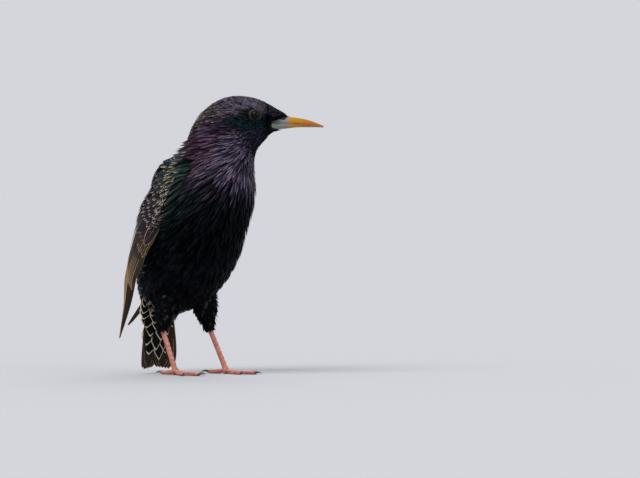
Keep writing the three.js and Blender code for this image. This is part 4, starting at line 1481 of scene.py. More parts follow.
@dataclass
class Wing:
    """One folded wing: a fleshy fold, flight feathers in tiers, and rows of coverts over their roots."""

    sign: int
    rng: np.random.Generator
    back: tuple = (
        (-3, -11, 122),
        (-20.8, -12, 100),
        (-31.9, -11.7, 74),
        (-40.4, -10.8, 47),
        (-45.5, -10, 21),
    )
    lower: tuple = (
        (14, -25, 116),
        (3.5, -29, 91),
        (-5.5, -28.6, 78),
        (-12.5, -27.2, 65),
        (-22.4, -22.5, 53.5),
        (-29.6, -18, 42),
        (-45, -12, 19),
    )
    bulge: tuple[float, ...] = (1, 3, 2, 0.8, 0)
    left_tuck: tuple[float, float, float] = (-3, 13, 7.5)
    fold_reach: tuple[float, float, float, float] = (0.0, 0.42, 0.05, 0.93)
    fold_cells: tuple[int, int] = (26, 14)

    def __post_init__(self) -> None:
        """Makes the two edges' curves."""
        self.edges = (Curve(list(self.back)), Curve(list(self.lower)))

    def sheet(self, down: Array, over: Array, height: Array) -> Array:
        """Places on the wing's sheet.

        Args:
            down: share of its length from the shoulder to the tip.
            over: share from its back edge to its lower edge.
            height: how far over the sheet.

        Returns:
            The places.
        """
        tuck = np.array(self.left_tuck if self.sign > 0 else (0, 0, 0), float)
        late = np.maximum(0, down - 0.35) / 0.65
        before = np.minimum(down, 0)[..., None] * 100
        sides = []
        for curve in self.edges:
            edge = curve.at(np.clip(down, 0, 1)) + before * curve.way(np.zeros(1))[0]
            edge = edge + late[..., None] * tuck
            edge[..., 1] *= -self.sign
            sides.append(edge)
        swell = np.interp(down, np.linspace(0, 1, len(self.bulge)), self.bulge) * 4 * over * (1 - over)
        behind, aside = -0.35 - 0.25 * (1 - over), self.sign * (0.5 + 0.5 * over)
        out = np.stack([behind, aside, np.full(np.shape(over), 0.1)], -1)
        flat = blend(sides[0], sides[1], over[..., None]) + unit(out) * (swell + height)[..., None]
        lifted = BODY.lift_off(flat, height)
        spare = np.maximum(BODY.distance(lifted) - height, 0)
        spare = spare * smooth(0.98, 1.15, over) * smooth(0.45, 0.3, down)
        return lifted - BODY.outward(lifted) * spare[..., None]

    def feathers(self, row: Row, kind: Kind) -> tuple[Array, Array, Array]:
        """The shafts' places and directions for one row.

        Args:
            row: the row.
            kind: the kind of its feathers.

        Returns:
            Places, directions across and directions up.
        """
        share = np.linspace(0, 1, row.count)[:, None]
        root = blend(row.root, row.root_end, share)
        tip = blend(row.tip, row.tip_end, share)
        root = root + self.rng.normal(0, 0.004, root.shape)
        tip = tip + self.rng.normal(0, 0.008, tip.shape)
        t = np.linspace(0, 1, WING_FORMS[kind].stations)[None, :, None]
        down, over, height = np.moveaxis(blend(root[:, None], tip[:, None], t), -1, 0)
        at = self.sheet(down, over, height)
        way = unit(np.gradient(at, axis=1))
        across = self.sheet(down, over + 0.04, height) - self.sheet(down, over - 0.04, height)
        if kind is Kind.FLIGHT:
            late = smooth(0.4, 0.9, down) * (self.sign < 0)
            across = unit(across) + late[..., None] * np.array([0.8, -0.75 * self.sign, 0])
        across = unit(across - way * np.sum(across * way, -1, keepdims=True))
        up = unit(np.cross(across, way))
        outward = np.sum(up * np.array([-0.4, self.sign * 0.7, 0.1]), -1, keepdims=True)
        across = np.where(outward < 0, -across, across)
        return at, across, unit(np.cross(across, way))

    def build(self, finishes: dict) -> dict:
        """Makes the wing's pieces.

        Args:
            finishes: materials by kind.

        Returns:
            The objects by kind.
        """
        name = SIDES[0 if self.sign < 0 else 1]
        made = {}
        for kind, rows in WING_ROWS.items():
            vanes = Vanes(WING_FORMS[kind])
            cells, size = bake_cells(sum(row.count for row in rows))
            start = 0
            for row in rows:
                placed = self.feathers(row, kind)
                spread = (0.25, 1.7) if kind is Kind.SIDE else (0.75, 1.3)
                tint = np.array(row.colour) * self.rng.uniform(*spread, (row.count, 1))
                if kind is Kind.SIDE:
                    tint = tint * np.linspace(1.0, 0.12, row.count)[:, None]
                fringe = row.fringe * self.rng.uniform(0.75, 1.2, row.count)
                part = cells[start : start + row.count]
                vanes.add(*placed, np.full(row.count, row.width), tint, part, fringe, size)
                start += row.count
            made[kind] = vanes.mesh(f"wing_{name}_{kind.value}", finishes[kind])
        made[Kind.FOLD] = self.fold(f"wing_{name}_fold", finishes[Kind.FOLD])
        return made

    def fold(self, name: str, material: bpy.types.Material) -> bpy.types.Object:
        """Makes the fleshy fold that the wing's feathers root in.

        Args:
            name: the piece's name.
            material: its finish.

        Returns:
            The fold's object.
        """
        downs, overs = self.fold_cells
        top_end, low_end, first, last = self.fold_reach
        d, o = grid(np.linspace(top_end, low_end, downs), np.linspace(first, last, overs))
        ends = smooth(top_end, 0.09, d) * smooth(low_end, 0.36, d)
        edge = np.minimum(ends, smooth(first, 0.2, o) * smooth(last, 0.8, o))
        top = self.sheet(d, o, 0.25 + 1.2 * edge)
        base = self.sheet(d, o, np.full_like(d, 0.1))
        base = base - BODY.outward(base) * 1.5
        points = np.concatenate([top, base])
        lower = downs * overs
        faces = []
        for i in range(downs - 1):
            for k in range(overs - 1):
                a, b = i * overs + k, i * overs + k + 1
                c, e = a + overs + 1, a + overs
                faces += [(a, b, c, e), (a + lower, e + lower, c + lower, b + lower)]
        rim = list(range(overs))
        rim += [(i + 1) * overs + overs - 1 for i in range(downs - 1)]
        rim += [(downs - 1) * overs + overs - 2 - k for k in range(overs - 1)]
        rim += [(downs - 2 - i) * overs for i in range(downs - 2)]
        for i, a in enumerate(rim):
            b = rim[(i + 1) % len(rim)]
            faces.append((a, a + lower, b + lower, b))
        faces = np.array(faces)
        if self.sign < 0:
            faces = faces[:, ::-1]
        flat = np.stack([np.concatenate([o, o]), np.concatenate([d * 2, d * 2])], -1) * 0.98 + 0.01
        tint = np.tile(DUSK, (len(points), 1))
        return make_mesh(name, points, faces, material, {"OFBake": flat}, {"tint": tint})


def bake_cells(count: int) -> tuple[Array, tuple[float, float]]:
    """Cells of a grid on the baked map, tall and narrow, one for each feather.

    Args:
        count: how many feathers share the map.

    Returns:
        The middle of each cell, and the width and height that a feather takes.
    """
    columns = max(1, round(math.sqrt(count * 3)))
    rows = math.ceil(count / columns)
    i = np.arange(count)
    middle = np.stack([(i % columns + 0.5) / columns, (i // columns + 0.5) / rows], -1)
    return middle, (0.9 / columns, 0.94 / rows)


@dataclass(frozen=True)
class CovertRow:
    """A row of tail coverts, with its tips' place down the tail, its spread and its height over the tail."""

    count: int
    tip: float
    spread: float
    out: float
    length: float
    width: float
    fringe: float
    belly: float
    face: int


UNDERTAIL: tuple[CovertRow, ...] = (
    CovertRow(3, 49.5, 7.4, 2.2, 26, 8.4, 0.85, 0.5, -1),
    CovertRow(4, 44.0, 9.2, 2.9, 26, 7.6, 0.85, 0.5, -1),
    CovertRow(3, 38.5, 7.4, 3.6, 25, 8.2, 0.85, 0.5, -1),
    CovertRow(4, 33.5, 11.2, 4.3, 24, 8.2, 0.8, 0.5, -1),
    CovertRow(5, 29.0, 13.5, 5.0, 22, 7.2, 0.7, 0.5, -1),
    CovertRow(6, 25.0, 14.5, 5.7, 20, 6.2, 0.6, 0.5, -1),
    CovertRow(7, 21.5, 14.5, 6.4, 18, 5.4, 0.5, 0.5, -1),
    CovertRow(8, 18.0, 14.0, 7.1, 16, 4.8, 0.45, 0.5, -1),
    CovertRow(9, 15.0, 13.5, 7.8, 14, 4.2, 0.4, 0.5, -1),
)
UPPERTAIL: tuple[CovertRow, ...] = (
    CovertRow(6, 31, 10.5, 3.2, 25, 7.4, 0.5, 0.6, 1),
    CovertRow(7, 24, 11.0, 3.8, 25, 7.2, 0.5, 0.8, 1),
    CovertRow(7, 17, 11.0, 4.4, 24, 7.0, 0.5, 1.0, 1),
    CovertRow(7, 10, 10.5, 5.0, 20, 6.6, 0.5, 1.0, 1),
)


@dataclass
class Tail:
    """The tail: twelve flight feathers, and coverts over and under their roots."""

    rng: np.random.Generator
    root: tuple[float, float, float] = (-26.5, 0, 57)
    tip_up: float = 1.6
    lean: float = 1.0
    count: int = 12
    width: float = 9.5
    spread: float = 12.4

    def spot(self, down: Array, aside: Array, out: Array) -> Array:
        """Places on the tail.

        Args:
            down: how far each is from the root.
            aside: how far it is to the left.
            out: how far it is out of the tail's back.

        Returns:
            The places.
        """
        a = math.radians(self.lean)
        axes = np.array([[-math.sin(a), 0, -math.cos(a)], [0, 1, 0], [-math.cos(a), 0, math.sin(a)]])
        return np.array(self.root) + np.stack(np.broadcast_arrays(down, aside, out), -1) @ axes

    def lay(self, root: Array, tip: Array, form: VaneForm, belly: float, face: int) -> tuple[Array, ...]:
        """Lays feathers from roots to tips.

        Args:
            root: down, aside and out of each root.
            tip: the same of each tip.
            form: the feathers' form.
            belly: how far their middles swell out.
            face: 1 when they show on the tail's back, and -1 on its underside.

        Returns:
            Places, directions across and directions up.
        """
        t = np.linspace(0, 1, form.stations)[None, :, None]
        p = blend(root[:, None], tip[:, None], t)
        swell = face * belly * 4 * t[..., 0] * (1 - t[..., 0])
        at = self.spot(p[..., 0], p[..., 1], p[..., 2] + swell)
        way = unit(np.gradient(at, axis=1))
        a = math.radians(self.lean)
        flat = np.array([-math.cos(a), 0, math.sin(a)]) * face
        tilt = p[..., 1, None] * 0.035 * np.array([0, 1, 0])
        across = unit(np.cross(way, flat + tilt))
        return at, across, unit(np.cross(across, way))

    def build(self, finishes: dict) -> dict:
        """Makes the tail's pieces.

        Args:
            finishes: materials by kind.

        Returns:
            The objects by name.
        """
        length = (self.root[2] - self.tip_up) / math.cos(math.radians(self.lean))
        form = VaneForm(26, 9, 0.4, 4.5, camber=0.08, thick=0.22)
        number = np.arange(self.count)
        pair, side = number // 2, np.where(number % 2, 1, -1)
        share = (pair + 0.5) / 6
        layer = 1.4 - 0.42 * pair - np.where(side > 0, 0.2, 0)
        down = length - 1.5 * (1 - share) - np.where(pair == 5, 1.2, 0)
        root = np.stack([np.zeros(self.count), side * (0.6 + 3 * share), layer], -1)
        tip = np.stack([down, side * (1 + self.spread * share), layer], -1)
        cells, size = bake_cells(self.count)
        vanes = Vanes(form)
        tint = np.array(BROWN) * self.rng.uniform(0.85, 1.15, (self.count, 1))
        width, fringe = np.full(self.count, self.width), np.full(self.count, 0.35)
        vanes.add(*self.lay(root, tip, form, 0.0, 1), width, tint, cells, fringe, size)
        made = {"tail_feathers": vanes.mesh("tail_feathers", finishes[Kind.FLIGHT])}
        under = VaneForm(24, 9, 0.8, 1.0, camber=0.2, thick=0.2)
        over = VaneForm(16, 7, 0.55, 2.0, camber=0.16, thick=0.2)
        sets = (
            ("undertail_coverts", UNDERTAIL, under, Kind.UNDERTAIL),
            ("uppertail_coverts", UPPERTAIL, over, Kind.COVERT),
        )
        for piece, rows, form, kind in sets:
            made[piece] = self.coverts(piece, rows, form, finishes[kind])
        return made

    def coverts(
        self, name: str, rows: tuple, form: VaneForm, finish: bpy.types.Material
    ) -> bpy.types.Object:
        """Makes one set of coverts, whose pointed tips stand in staggered rows.

        Args:
            name: the piece's name.
            rows: the rows of the set.
            form: the feathers' form.
            finish: their finish.

        Returns:
            The coverts' object.
        """
        vanes = Vanes(form)
        cells, size = bake_cells(sum(row.count for row in rows))
        start = 0
        for row in rows:
            share = np.linspace(-1, 1, row.count)
            aside = share * row.spread + self.rng.normal(0, 0.2, row.count)
            tip_down = row.tip - 3 * share**2 + self.rng.uniform(-0.5, 0.5, row.count)
            layer = row.face * (row.out - 2.6 * share**2 * row.spread / 13)
            layer = layer + row.face * self.rng.uniform(-0.15, 0.15, row.count)
            root = np.stack([np.full(row.count, row.tip - row.length), aside * 0.55, layer], -1)
            tip = np.stack([tip_down, aside, layer + row.face * 0.2], -1)
            tint = np.array(Plumage.black) * 2.2 * self.rng.uniform(0.7, 1.3, (row.count, 1))
            width = row.width * self.rng.uniform(0.94, 1.06, row.count)
            fringe = row.fringe * self.rng.uniform(0.85, 1.15, row.count)
            placed = self.lay(root, tip, form, row.belly, row.face)
            vanes.add(*placed, width, tint, cells[start : start + row.count], fringe, size)
            start += row.count
        return vanes.mesh(name, finish)


@dataclass(frozen=True)
class Toe:
    """A toe's turn from the foot's facing, its length, its radius and its claw's length."""

    name: str
    turn: float
    length: float
    radius: float
    claw: float


TOES: tuple[Toe, ...] = (
    Toe("inner", -24, 15, 1.2, 5.2),
    Toe("middle", 0, 20.5, 1.3, 6),
    Toe("outer", 22, 15.5, 1.2, 5.2),
    Toe("hind", 180, 11.5, 1.35, 7.4),
)


def scute_tree() -> bpy.types.NodeTree:
    """The geometry tree that lays overlapping scutes along a line of points.

    Returns:
        The tree.
    """
    name = "scute_row"
    if name in bpy.data.node_groups:
        return bpy.data.node_groups[name]
    tree = bpy.data.node_groups.new(name, "GeometryNodeTree")
    face = tree.interface
    face.new_socket("Geometry", in_out="INPUT", socket_type="NodeSocketGeometry")
    face.new_socket("Count", in_out="INPUT", socket_type="NodeSocketInt")
    for key in ("Wide", "Deep", "Long"):
        face.new_socket(key, in_out="INPUT", socket_type="NodeSocketFloat")
    face.new_socket("Finish", in_out="INPUT", socket_type="NodeSocketMaterial")
    face.new_socket("Geometry", in_out="OUTPUT", socket_type="NodeSocketGeometry")
    g = Graph(tree)
    given = g.node("NodeGroupInput").outputs
    line = g.node("GeometryNodeMeshToCurve", {"Mesh": given["Geometry"]}).outputs[0]
    points = g.node("GeometryNodeCurveToPoints", {"Curve": line, "Count": given["Count"]}, mode="COUNT")
    plate = g.node("GeometryNodeMeshUVSphere", {"Segments": 14, "Rings": 8, "Radius": 1.0}).outputs["Mesh"]
    size = g.node("ShaderNodeCombineXYZ", {0: given["Wide"], 1: given["Deep"], 2: given["Long"]}).outputs[0]
    shaped = g.node("GeometryNodeTransform", {"Geometry": plate, "Scale": size}).outputs[0]
    turn = points.outputs["Rotation"]
    inputs = {"Points": points.outputs[0], "Instance": shaped, "Rotation": turn}
    placed = g.node("GeometryNodeInstanceOnPoints", inputs).outputs[0]
    real = g.node("GeometryNodeRealizeInstances", {"Geometry": placed}).outputs[0]
    soft = g.node("GeometryNodeSetShadeSmooth", {"Geometry": real}).outputs[0]
    done = g.node("GeometryNodeSetMaterial", {"Geometry": soft, "Material": given["Finish"]}).outputs[0]
    g.node("NodeGroupOutput", {0: done})
    return tree


@dataclass
class Leg:
    """One leg: feathered thigh, bare shank and foot with scutes, and four claws."""

    name: str
    side: int
    knee: tuple[float, float, float]
    heel: tuple[float, float, float]
    toe_root: tuple[float, float, float]
    toes_turn: float
    rng: np.random.Generator
    skin_radius: tuple = ((0, 0.3, 0.6, 0.85, 1), (3.4, 5.4, 4.4, 2.6, 1.8))
    coat_radius: tuple = ((0, 0.3, 0.6, 0.85, 1.0, 1.15), (5, 7.8, 6.9, 4.6, 3.2, 2.6))
    coat_length: tuple = ((0, 0.6, 1), (8.5, 6.5, 4.0))

    def thigh_skin(self) -> tuple[Array, Array]:
        """The thigh's skin as a bar inside its coat.

        Returns:
            The corners and the triangles.
        """
        t = np.linspace(0, 1, 14)
        return tube(blend(self.knee, self.heel, t[:, None]), np.interp(t, *self.skin_radius), 24)

    def thigh_map(self, points: Array) -> Array:
        """Places of thigh points on the baked map, in a strip beside the skin's foot.

        Args:
            points: the places on the thigh.

        Returns:
            The places on the map.
        """
        share = np.clip((self.knee[2] - points[:, 2]) / (self.knee[2] - self.heel[2]), 0, 1)
        left = 0.03 if self.side > 0 else 0.53
        return np.stack([left + 0.1 * share, 0.012 + 0.02 * share], -1)

    def thigh_coat(self, material: bpy.types.Material) -> bpy.types.Object:
        """Makes the thigh's small feathers, which point down the leg.

        Args:
            material: their finish.

        Returns:
            The feathers' object.
        """
        form = VaneForm(7, 3, 0.5, 2.2, camber=0.25, thick=0.14)
        knee, heel = np.array(self.knee, float), np.array(self.heel, float)
        way, reach = unit(heel - knee), np.linalg.norm(heel - knee)
        side = unit(np.cross(way, np.array([1.0, 0, 0])))
        other = np.cross(side, way)
        share, turn = [], []
        for row, t in enumerate(np.linspace(0.02, 0.93, 20)):
            count = 24 if t < 0.6 else 17
            share.append(np.full(count, t) + self.rng.uniform(-0.015, 0.015, count))
            spots = np.arange(count) + 0.5 * (row % 2) + self.rng.uniform(-0.2, 0.2, count)
            turn.append(spots / count * 2 * math.pi)
        share, turn = np.concatenate(share), np.concatenate(turn)
        count = len(share)
        out = side * np.cos(turn)[:, None] + other * np.sin(turn)[:, None]
        length = np.interp(share, *self.coat_length) * self.rng.uniform(0.7, 1.25, count)
        ruffle = self.rng.uniform(0, 1.3, count) ** 2
        at = []
        for t in np.linspace(0, 1, form.stations):
            along = share + length * t / reach
            radius = np.interp(along, *self.coat_radius) - 1.4 * (1 - t) + ruffle * t * t
            at.append(knee + way * (along * reach)[:, None] + out * radius[:, None])
        at = np.stack(at, 1)
        vanes = Vanes(form)
        tint = np.array(Plumage.black) * 2.5 * self.rng.uniform(0.7, 1.4, (count, 1))
        tint = tint + (self.rng.random((count, 1)) < 0.15) * np.array((0.03, 0.025, 0.022))
        bake = self.thigh_map(at[:, 0]) + np.stack([turn / 60, np.zeros(count)], -1)
        width = np.interp(share, [0, 1], [3.6, 1.9])
        vanes.add(at, *vane_ways(at, out), width, tint, bake, np.zeros(count))
        return vanes.mesh(f"coat_thigh_{self.name}", material)

    def toe_way(self, toe: Toe) -> Array:
        """The level direction of a toe."""
        return level_way(self.toes_turn - self.side * toe.turn)

    def toe_line(self, toe: Toe, t: Array) -> Array:
        """Places along a toe, whose pads lie on the floor.

        Args:
            toe: the toe.
            t: shares of its length.

        Returns:
            The places.
        """
        low, d = toe.radius * 0.7, t * toe.length
        x, y, top = self.toe_root
        up = low + (top - 0.5 - low) * np.exp(-d / 3.2)
        return np.array([x, y, 0]) + self.toe_way(toe) * d[:, None] + up[:, None] * UP

    def limb(self, material: bpy.types.Material) -> bpy.types.Object:
        """Makes the skin of shank and foot as one mesh of bars, cut flat on the floor.

        Args:
            material: its finish.

        Returns:
            The limb's object.
        """
        root = np.array(self.toe_root, float)
        t = np.linspace(-0.08, 1.06, 60)
        radii = 1.4 * (1 + 0.45 * np.exp(-((t / 0.12) ** 2)) + 0.16 * np.clip(t, 0, 1) ** 4)
        radii[0] *= 0.5
        parts = [tube(blend(self.heel, root - 0.6 * UP, t[:, None]), radii, 20)]
        for toe in TOES:
            t = np.linspace(0, 1, 54)
            pad = 1 + 0.12 * np.cos(t * 2 * math.pi * toe.length / 5.4)
            radii = toe.radius * pad * (1 - 0.22 * t)
            radii[-1] *= 0.6
            parts.append(tube(self.toe_line(toe, t), radii, 18))
        ball_t = np.linspace(0.03, math.pi - 0.03, 14)
        ball = root - UP - np.cos(ball_t)[:, None] * 2.3 * UP
        parts.append(tube(ball, np.sin(ball_t) * 2.4, 20))
        points, faces = joined(parts)
        points[:, 2] = np.maximum(points[:, 2], 0.0)
        return make_mesh(f"leg_{self.name}", points, faces, material)

    def scute_row(self, name: str, line: Array, inputs: dict) -> bpy.types.Object:
        """Lays one row of scutes along a line.

        Args:
            name: the row's name.
            line: places along the row, in the part's frame and in metres.
            inputs: what each named input of the scutes' tree takes.

        Returns:
            The row's object, whose modifier makes the scutes.
        """
        mesh = bpy.data.meshes.new(name)
        mesh.from_pydata([tuple(p) for p in line], [(i, i + 1) for i in range(len(line) - 1)], [])
        thing = bpy.data.objects.new(name, mesh)
        bpy.context.scene.collection.objects.link(thing)
        modifier = thing.modifiers.new("scutes", "NODES")
        modifier.node_group = scute_tree()
        sockets = modifier.node_group.interface.items_tree
        keys = {socket.name: socket.identifier for socket in sockets if socket.in_out == "INPUT"}
        for key, value in inputs.items():
            modifier[keys[key]] = value
        return thing

    def scutes(self, material: bpy.types.Material) -> bpy.types.Object:
        """Makes the scutes on the shank's front and the toes' tops.

        Args:
            material: the scutes' finish.

        Returns:
            One object with every scute of the leg.
        """
        heel, root = np.array(self.heel, float), np.array(self.toe_root, float)
        ahead, way = level_way(self.toes_turn), unit(root - heel)
        front = unit(ahead - way * np.sum(ahead * way))
        t = np.linspace(0.06, 0.97, 24)[:, None]
        lines = [(blend(heel, root, t) + front * 0.75, 9, 1.12, 0.78, 1.75)]
        for toe in TOES:
            lifted = self.toe_line(toe, np.linspace(0.1, 0.97, 24)) + UP * (toe.radius * 0.35)
            count = max(5, round(toe.length / 1.9))
            lines.append((lifted, count, toe.radius * 0.86, toe.radius * 0.62, 1.25))
        rows = []
        for number, (line, count, *size) in enumerate(lines):
            inputs = {key: value * MM for key, value in zip(("Wide", "Deep", "Long"), size)}
            inputs |= {"Count": count, "Finish": material}
            rows.append(self.scute_row(f"scutes_{self.name}_{number}", (line + frame_shift()) * MM, inputs))
        bpy.context.view_layer.update()
        graph = bpy.context.evaluated_depsgraph_get()
        parts = []
        for thing in rows:
            real = bpy.data.meshes.new_from_object(thing.evaluated_get(graph))
            corners = np.empty(len(real.vertices) * 3, np.float32)
            real.vertices.foreach_get("co", corners)
            real.calc_loop_triangles()
            tris = np.empty(len(real.loop_triangles) * 3, np.int32)
            real.loop_triangles.foreach_get("vertices", tris)
            parts.append((corners.reshape(-1, 3), tris.reshape(-1, 3)))
            bpy.data.objects.remove(thing)
        corners, faces = joined(parts)
        corners = corners / MM - frame_shift()
        corners[:, 2] = np.maximum(corners[:, 2], 0.02)
        return make_mesh(f"scutes_{self.name}", corners, faces, material)

    def claws(self, material: bpy.types.Material) -> dict:
        """Makes the four claws.

        Args:
            material: their finish.

        Returns:
            The objects by name.
        """
        made = {}
        for toe in TOES:
            end = self.toe_line(toe, np.array([1.0]))[0]
            t = np.linspace(0, 1, 22)
            rise = 0.9 * np.sin(t * math.pi * 0.8) - t * t * (end[2] + 0.2)
            line = end + self.toe_way(toe) * (t * toe.claw * 0.92)[:, None] + rise[:, None] * UP
            radii = np.maximum(toe.radius * 0.66 * (1 - t**1.3), 0.07)
            lowest = float(np.min(line[:, 2] - radii))
            line[:, 2] += max(0.0, 0.1 - lowest) * t
            corners, tris = tube(line, radii, 16)
            name = f"claw_{self.name}_{toe.name}"
            made[name] = make_mesh(f"{name}_horn", corners, tris, material)
        return made


LEG_PLACES = (
    ("right", -1, (-5, -9, 52), (-8.5, -14.5, 27), (3, -15.5, 3.1), -6.0),
    ("left", 1, (0, 9, 52), (1.5, 14.5, 27), (13.5, 16, 3.1), 8.0),
)


@dataclass(frozen=True)
class Sun:
    """A far soft light. Its way from the bird is given rightwards, towards the camera and up."""

    name: str
    way: tuple[float, float, float]
    power: float
    spread: float


SKY: Colour = (0.66, 0.67, 0.715)
SUNS: tuple[Sun, ...] = (
    Sun("key", (-0.6, 0.7, 1.0), 1.9, 35),
    Sun("fill", (1.0, 0.8, 0.5), 0.7, 60),
    Sun("crown", (0.2, -0.9, 0.9), 1.2, 50),
)


@dataclass
class Studio:
    """A pale floor, a pale surround, soft lights and the camera."""

    distance: float = 3.0
    elevation: float = 1.0
    frame_width: float = 0.371
    sensor: float = 36.0
    middle: tuple[float, float] = (75.4, 78.3)
    floor_radius: float = 12.0

    def build(self) -> None:
        """Makes the studio."""
        scene = bpy.context.scene
        scene.view_settings.view_transform = "Standard"
        self.surround()
        self.floor()
        right, near = level_way(VIEW_AZIMUTH), level_way(VIEW_AZIMUTH - 90)
        target = (right * self.middle[0] + UP * self.middle[1] + frame_shift()) * MM
        rise = math.radians(self.elevation)
        away = near * math.cos(rise) + UP * math.sin(rise)
        camera = bpy.data.objects.new("camera", bpy.data.cameras.new("camera"))
        camera.data.lens = self.sensor * self.distance / self.frame_width
        camera.data.clip_end = 100
        self.aim(camera, target + away * self.distance, target)
        scene.camera = camera
        for sun in SUNS:
            data = bpy.data.lights.new(sun.name, "SUN")
            data.energy = sun.power
            data.angle = math.radians(sun.spread)
            lamp = bpy.data.objects.new(sun.name, data)
            self.aim(lamp, target + np.array(sun.way) @ np.stack([right, near, UP]), target)

    @staticmethod
    def aim(thing: bpy.types.Object, place: Array, target: Array) -> None:
        """Puts a camera or light at a place, facing a target.

        Args:
            thing: the camera or light.
            place: where it stands.
            target: what it faces.
        """
        thing.location = place
        thing.rotation_euler = Vector(target - place).to_track_quat("-Z", "Y").to_euler()
        bpy.context.scene.collection.objects.link(thing)

    @staticmethod
    def surround() -> None:
        """Lights the scene evenly from a pale grey sky."""
        world = bpy.data.worlds.new("overcast")
        world.use_nodes = True
        back = world.node_tree.nodes["Background"]
        back.inputs[0].default_value = rgba(SKY)
        back.inputs[1].default_value = 1.0
        bpy.context.scene.world = world

    def floor(self) -> None:
        """Lays a pale floor."""
        mesh = bpy.data.meshes.new("floor")
        rim = [tuple(level_way(turn) * self.floor_radius) for turn in np.degrees(full_turn(96))]
        mesh.from_pydata(rim, [], [tuple(range(len(rim)))])
        floor = bpy.data.objects.new("floor", mesh)
        material, g, shader = new_material("pale_floor")
        from_suns = sum(sun.power * sun.way[2] / math.hypot(*sun.way) for sun in SUNS) / math.pi
        grey = rgba(tuple(sky / (sky + from_suns) for sky in SKY))
        g.feed(shader, {"Base Color": grey, "Roughness": 1.0, "Specular IOR Level": 0.0})
        mesh.materials.append(material)
        bpy.context.scene.collection.objects.link(floor)


WING_SHAFT: Colour = (0.012, 0.008, 0.006)
WING_FINISHES: dict[Kind, FeatherFinish | SkinFinish] = {
    Kind.FLIGHT: FeatherFinish(
        "brown_flight_feathers", BUFF, 0.05, 0.15, 60, 0.12, 0.46, 0.8, shaft=WING_SHAFT, shaft_share=0.8
    ),
    Kind.COVERT: FeatherFinish(
        "dusky_covert_feathers", BUFF, 0.3, 0.6, 34, 0.35, 0.42, 0.6, shaft=WING_SHAFT, shaft_share=0.6
    ),
    Kind.UNDERTAIL: FeatherFinish(
        "undertail_feathers", CREAM, 0.66, 0.76, 30, 0.2, 0.5, 0.8, shaft=WING_SHAFT, shaft_share=0.4
    ),
    Kind.SPOTTED: FeatherFinish(
        "spotted_covert_feathers", PALE, 0.84, 0.95, 24, 0.5, 0.38, 0.6, shaft=WING_SHAFT, shaft_share=0.5
    ),
    Kind.SIDE: FeatherFinish("side_breast_feathers", OLIVE, 0.7, 0.9, 20),
    Kind.FOLD: SkinFinish("wing_fold_down"),
}


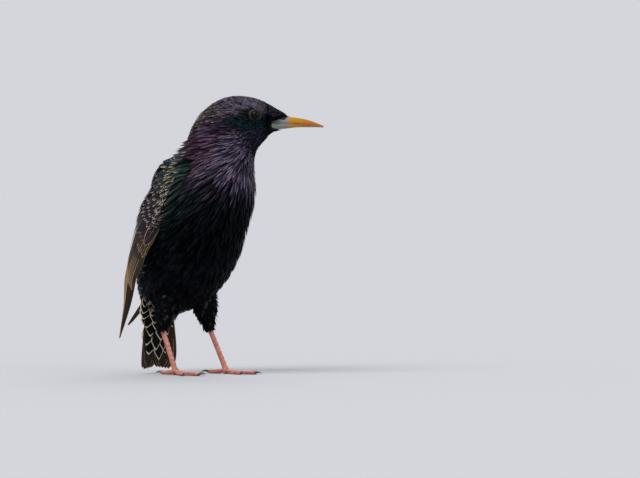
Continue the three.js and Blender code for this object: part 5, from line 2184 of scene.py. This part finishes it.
@dataclass
class Starling:
    """The whole bird: builds each part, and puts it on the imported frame."""

    rng: np.random.Generator = field(default_factory=lambda: np.random.default_rng(11))
    pieces: dict = field(default_factory=dict)

    def put(self, made: bpy.types.Object, slot: str, *nodes: str) -> None:
        """Puts a piece on the frame.

        Args:
            made: the piece.
            slot: the record's material slot for the piece; not used.
            *nodes: the solids that it stands for.
        """
        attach(made, "root")
        if nodes:
            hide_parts(*nodes)
        self.pieces[made.name] = made
        LOG.info("%s: %d faces", made.name, len(made.data.polygons))

    def coat(self, legs: list[Leg]) -> None:
        """Makes the skin and the body's feathers.

        Args:
            legs: the legs, whose thighs are feathered.
        """
        plain = FeatherFinish("glossy_contour_feathers", BUFF, 0.86, 0.96, barbs=14).build()
        tipped = FeatherFinish("buff_tipped_feathers", OLIVE, 0.8, 0.92, barbs=16, metallic=0.5).build()
        skin = Skin().build(SkinFinish().build(), legs)
        self.put(skin, "plumage", "torso", "neck", "head", "thigh_right", "thigh_left")
        coat = Coat(self.rng)
        forms = {
            Region.HEAD: VaneForm(5, 3, 0.45, 2.0, camber=0.2, thick=0.1),
            Region.NECK: VaneForm(9, 3, 0.4, 1.5, camber=0.28, thick=0.14),
            Region.BREAST: VaneForm(9, 3, 0.42, 1.6, camber=0.25, thick=0.14),
            Region.BELLY: VaneForm(8, 3, 0.5, 2.1, camber=0.2, thick=0.14),
        }
        for region, form in forms.items():
            finish = plain if region is Region.HEAD else tipped
            self.put(coat.grow(region, form, finish), "plumage")
        self.put(coat.lores(plain), "plumage")
        for leg in legs:
            self.put(leg.thigh_coat(plain), "plumage")

    def head(self) -> None:
        """Makes the eyes and the bill."""
        lid = MottleFinish("eyelid_skin", (0.014, 0.013, 0.015), (0.026, 0.024, 0.027), 0.5, 1400).build()
        eyes = Eyes.build(EyeFinish().build(), lid)
        for name in SIDES:
            self.put(eyes[f"eye_{name}"], "eye", f"eye_{name}")
            self.put(eyes[f"lids_{name}"], "plumage")
        horn = HornFinish("bill_horn").build()
        self.put(Bill.build(True, horn), "bill", "bill_upper")
        self.put(Bill.build(False, horn), "bill", "bill_lower")

    def wings(self) -> None:
        """Makes both wings and the tail."""
        finishes = {kind: finish.build() for kind, finish in WING_FINISHES.items()}
        for name, sign in zip(SIDES, (-1, 1)):
            for kind, piece in Wing(sign, self.rng).build(finishes).items():
                nodes = (f"wing_{name}",) if kind is Kind.FLIGHT else ()
                self.put(piece, "flight", *nodes)
        for piece in Tail(self.rng).build(finishes).values():
            nodes = ("tail",) if piece.name == "tail_feathers" else ()
            self.put(piece, "flight", *nodes)

    def feet(self, legs: list[Leg]) -> None:
        """Makes the bare legs, their scutes and their claws.

        Args:
            legs: the two legs.
        """
        skin = MottleFinish("leg_skin", (0.3, 0.085, 0.055), (0.46, 0.17, 0.12), 0.45, 900).build()
        scute = MottleFinish("leg_scutes", (0.4, 0.13, 0.085), (0.55, 0.24, 0.18), 0.36, 800, 0.3).build()
        horn = MottleFinish("claw_horn", (0.03, 0.02, 0.015), (0.09, 0.06, 0.045), 0.3, 600, 0.2, 0.3).build()
        for leg in legs:
            self.put(leg.limb(skin), "skin", f"shank_{leg.name}", f"foot_{leg.name}")
            self.put(leg.scutes(scute), "skin")
            for node, piece in leg.claws(horn).items():
                self.put(piece, "claw", node)


def main() -> None:
    """Loads the frame, builds the bird and its studio, and notes the sizes."""
    logging.basicConfig(level=logging.INFO, format="%(name)s %(message)s")
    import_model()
    bird = Starling()
    legs = [Leg(*place, rng=bird.rng) for place in LEG_PLACES]
    bird.coat(legs)
    bird.head()
    bird.wings()
    bird.feet(legs)
    Studio().build()
    total = sum(len(piece.data.polygons) for piece in bird.pieces.values())
    LOG.info("%d pieces, about %d faces", len(bird.pieces), total)
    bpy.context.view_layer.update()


if __name__ == "__main__":
    main()
